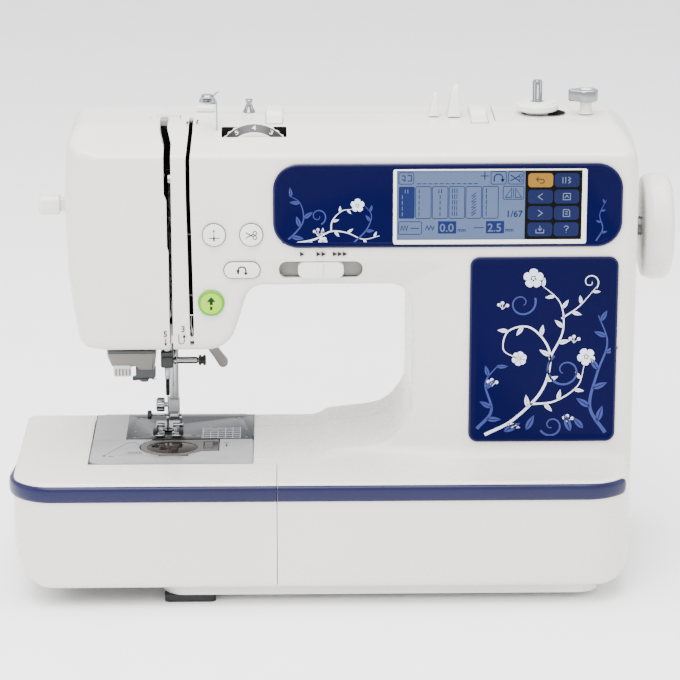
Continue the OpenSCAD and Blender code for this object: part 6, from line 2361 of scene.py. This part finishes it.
def head_marks() -> None:
    """Prints the threading digits, their arrows and the lines beside the slots, and paints shade as dark
    rings around the front keys.
    """
    draw = Drawing(AT.face)
    draw.number("5", -112.4, 163.4, 4.0, INK_DARK)
    draw.line([(-111.1, 162.2), (-111.1, 158.6)], 0.5, INK_DARK)
    draw.area([(-112.2, 159.4), (-110.0, 159.4), (-111.1, 157.4)], INK_DARK)
    draw.number("3", -101.2, 166.6, 4.0, INK_DARK)
    turn = [(-102.9, 165.0), (-102.9, 160.6)] + [
        (-101.2 - 1.7 * math.cos(a), 160.6 - 1.7 * math.sin(a)) for a in np.linspace(0.2, math.pi, 8)
    ]
    draw.line(turn + [(-99.5, 163.4)], 0.5, INK_DARK)
    draw.area([(-100.6, 163.0), (-98.4, 163.0), (-99.5, 165.2)], INK_DARK)
    draw.finish_as("head_marks", ROOT)
    # Painted shade: thin dark rings in the gaps around the needle, cutter and reverse keys
    gap_shade = Drawing(AT.face, 0.04)
    for at in (CONTROLS.needle, CONTROLS.cutter):
        gap_shade.loop(ring(*at, 7.2), 0.5, INK_DARK)
    gap_shade.loop(CONTROLS.oblong(CONTROLS.reverse, 22.6, 10.6), 0.5, INK_DARK)
    gap_shade.finish_as("key_gap_shade", ROOT)
    top = FlatDrawing(AT.top)
    top.line([(-117, 10), (-109, 10), (-101.7, 10), (-101.7, 3)], 0.5, INK_GREY)
    top.line([(-120.4, 5.4), (-120.4, 3.2)], 0.6, INK_GREY)
    top.finish_as("top_marks", ROOT)


def panel_patterns() -> None:
    """Prints the scrollwork on the display panel and the column's panel."""
    face = AT.face
    draw = Drawing(face - 0.38, 0.05)
    vine = Vine(draw)
    vine.branch(
        [(-38, 223.5), (-31, 229), (-25, 238), (-27, 249), (-34, 254)], 1.3, (0.2, 0.4, 0.55, 0.75, 0.95),
        8.5, INK_BLUE,
    )
    vine.branch(
        [(-30, 223.5), (-18, 226), (-8, 231), (2, 230), (12, 226), (22, 228)], 1.2,
        (0.15, 0.3, 0.45, 0.62, 0.8, 0.95), 5.6, INK_WHITE,
    )
    vine.branch([(-8, 231), (-7, 238), (-1, 244), (6, 245)], 0.9, (0.3, 0.6, 0.85), 5.0, INK_WHITE)
    vine.flower(8.4, 247.4, 4.2, INK_WHITE)
    vine.berries(-16, 228, INK_WHITE)
    vine.branch([(6, 223.6), (14, 232), (17, 241), (13, 247)], 1.1, (0.3, 0.55, 0.8), 6.2, INK_BLUE)
    vine.curl(-16, 240.5, 5.4, -1.2, 1.2, 0.9, INK_BLUE)
    vine.flower(-13, 224.9, 2.8, INK_WHITE, turn=0.9)
    vine.branch([(156, 224), (160, 232), (158, 241), (162, 250)], 0.9, (0.25, 0.5, 0.75, 0.95), 4.4, INK_BLUE)
    draw.finish_as("display_scrolls", ROOT)
    draw = Drawing(face - 0.18, 0.05, (80.8, 96.2))
    vine = Vine(draw)
    vine.branch(
        [(8, 2), (26, 12), (44, 32), (48, 56), (36, 72), (22, 70), (19, 58), (28, 52)], 2.0,
        (0.12, 0.22, 0.32, 0.42, 0.52, 0.62, 0.72), 9.0, INK_WHITE,
    )
    vine.branch([(48, 52), (56, 70), (54, 88), (42, 100)], 1.4, (0.2, 0.4, 0.6, 0.8, 0.98), 8.4, INK_WHITE)
    vine.flower(37, 104, 6.2, INK_WHITE)
    vine.branch([(55, 78), (66, 86), (76, 98)], 1.1, (0.3, 0.6, 0.9), 7.2, INK_WHITE)
    vine.curl(72.5, 101.5, 5.5, -0.8, 1.15, 0.8, INK_WHITE)
    vine.branch([(36, 22), (52, 24), (66, 34), (70, 48)], 1.4, (0.2, 0.4, 0.6, 0.8), 8.0, INK_WHITE)
    vine.flower(71, 53, 5.6, INK_WHITE, turn=0.8)
    vine.flower(29, 52, 4.6, INK_WHITE, 6)
    for bx, bz in ((18, 84), (63, 62), (12, 34), (60, 10)):
        vine.berries(bx, bz, INK_WHITE, 1.1)
    vine.branch(
        [(84, 3), (74, 20), (78, 42), (84, 62), (78, 80)], 2.4, (0.12, 0.26, 0.4, 0.54, 0.68, 0.82, 0.96),
        11.5, INK_BLUE,
    )
    vine.branch([(3, 6), (12, 18), (8, 36), (16, 48)], 2.2, (0.2, 0.4, 0.6, 0.8, 0.98), 10.0, INK_BLUE)
    vine.curl(58, 44, 12.0, 2.2, 1.3, 1.6, INK_BLUE)
    vine.curl(30, 88, 9.0, 0.4, -1.2, 1.3, INK_BLUE)
    vine.curl(50, 8, 7.5, 3.6, 1.2, 1.4, INK_BLUE)
    for lx, lz, a, n in ((20, 4, 0.5, 12), (34, 5, 1.1, 11), (62, 4, 1.9, 12), (70, 6, 2.3, 10)):
        vine.leaf(lx, lz, a, n, INK_BLUE)
    draw.finish_as("column_scrolls", ROOT)


# ---- Pieces taken over from the frame ----

CARRIED: dict[str, Finish] = {
    "base_plate": ABS_SATIN,
    "rubber_feet": RUBBER,
    "arm_frame": ALU_CAST,
    "drive_motor": NYLON_GREY,
    "circuit_board": BOARD,
    "power_inlet": NYLON_BLACK,
    "power_switch": NYLON_BLACK,
    "work_lamp": LENS,
    "bobbin_case": NYLON_BLACK,
    "drive_belts": RUBBER,
    "cover_screws": STEEL_GROUND,
    "main_shaft": STEEL_GROUND,
    "lower_shaft": STEEL_GROUND,
    "rotary_hook": STEEL_GROUND,
    "motor_pulley": STEEL_GROUND,
    "needle_bar": CHROME,
    "needle": CHROME,
    "needle_link": ALU_CAST,
    "take_up_lever": CHROME,
    "presser_bar": CHROME,
    "accessory_tray": ABS_SATIN,
    "cover_latch": NYLON_GREY,
    "feed_dog": STEEL_GROUND,
    "spool_pin": ABS_SATIN,
}


def dress_carried(nodes: dict[str, Piece]) -> None:
    """Gives every node that is kept its finish and a fine bevel.

    Args:
        nodes: node name to object.
    """
    for name, finish in CARRIED.items():
        made = nodes[name]
        material = finish.build()
        for place in made.material_slots:
            place.material = material
        rim = made.modifiers.new("rim", "BEVEL")
        rim.width = 0.25 * MM
        rim.segments = 2
        rim.limit_method = "ANGLE"
        rim.angle_limit = math.radians(40)
        LOG.info("carried %s in %s", name, finish.name)


# ---- Studio ----


@dataclass
class Studio:
    """Pale floor, soft lights and the camera."""

    eye: Point3 = (-36.8, -1844.4, 692.6)
    aim: Point3 = (-1.43, 0.0, 146.12)
    lens: float = 158.8
    world: float = 1.75

    def build(self) -> None:
        """Builds floor, room light, lamps and camera."""
        camera = bpy.data.cameras.new("camera")
        camera.lens, camera.sensor_width, camera.clip_end = self.lens, 36.0, 30.0
        holder = self._place("camera", camera, self.eye)
        bpy.context.scene.camera = holder
        corners = lift(np.array(pad(-7000, -7000, 7000, 7000, 0)), XY, 0.0)
        floor = paint(to_mesh("floor", corners, [[0, 1, 2, 3]]), PAPER)
        room = bpy.data.worlds.new("room")
        room.use_nodes = True
        light = room.node_tree.nodes["Background"]
        light.inputs["Color"].default_value = linear("FDFDFF")
        light.inputs["Strength"].default_value = self.world
        bpy.context.scene.world = room
        for name, at, size, watt in (
            ("key", (-420, -1500, 1750), 1500, 46.0), ("overhead", (-100, -100, 1700), 1700, 62.0),
            ("left", (-1700, -500, 700), 900, 5.0), ("right", (1700, -300, 800), 900, 6.0),
        ):
            lamp = bpy.data.lights.new(name, "AREA")
            lamp.shape, lamp.size, lamp.energy = "DISK", size * MM, watt
            self._place(name, lamp, at)

    def _place(self, name: str, data: bpy.types.ID, at: Point3) -> Piece:
        """Puts a lamp or the camera at a point and turns it to the machine."""
        made = bpy.data.objects.new(name, data)
        bpy.context.scene.collection.objects.link(made)
        here = Vector(at) * MM
        made.location = here
        made.rotation_euler = (Vector(self.aim) * MM - here).to_track_quat("-Z", "Y").to_euler()
        return made


HANDLE = Handle()
CONTROLS = Controls()


def main() -> None:
    """Builds the machine's visible pieces in order."""
    logging.basicConfig(level=logging.INFO, format="%(message)s")
    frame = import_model()
    Studio().build()
    Housing().build()
    for part in (Stripe(), CONTROLS, HANDLE, Wheel(), TopFittings(), SewingHead(), BedPlates()):
        part.build()
        LOG.info("built %s", type(part).__name__)
    panel_patterns()
    head_marks()
    dress_carried(frame["nodes"])


if __name__ == "__main__":
    main()
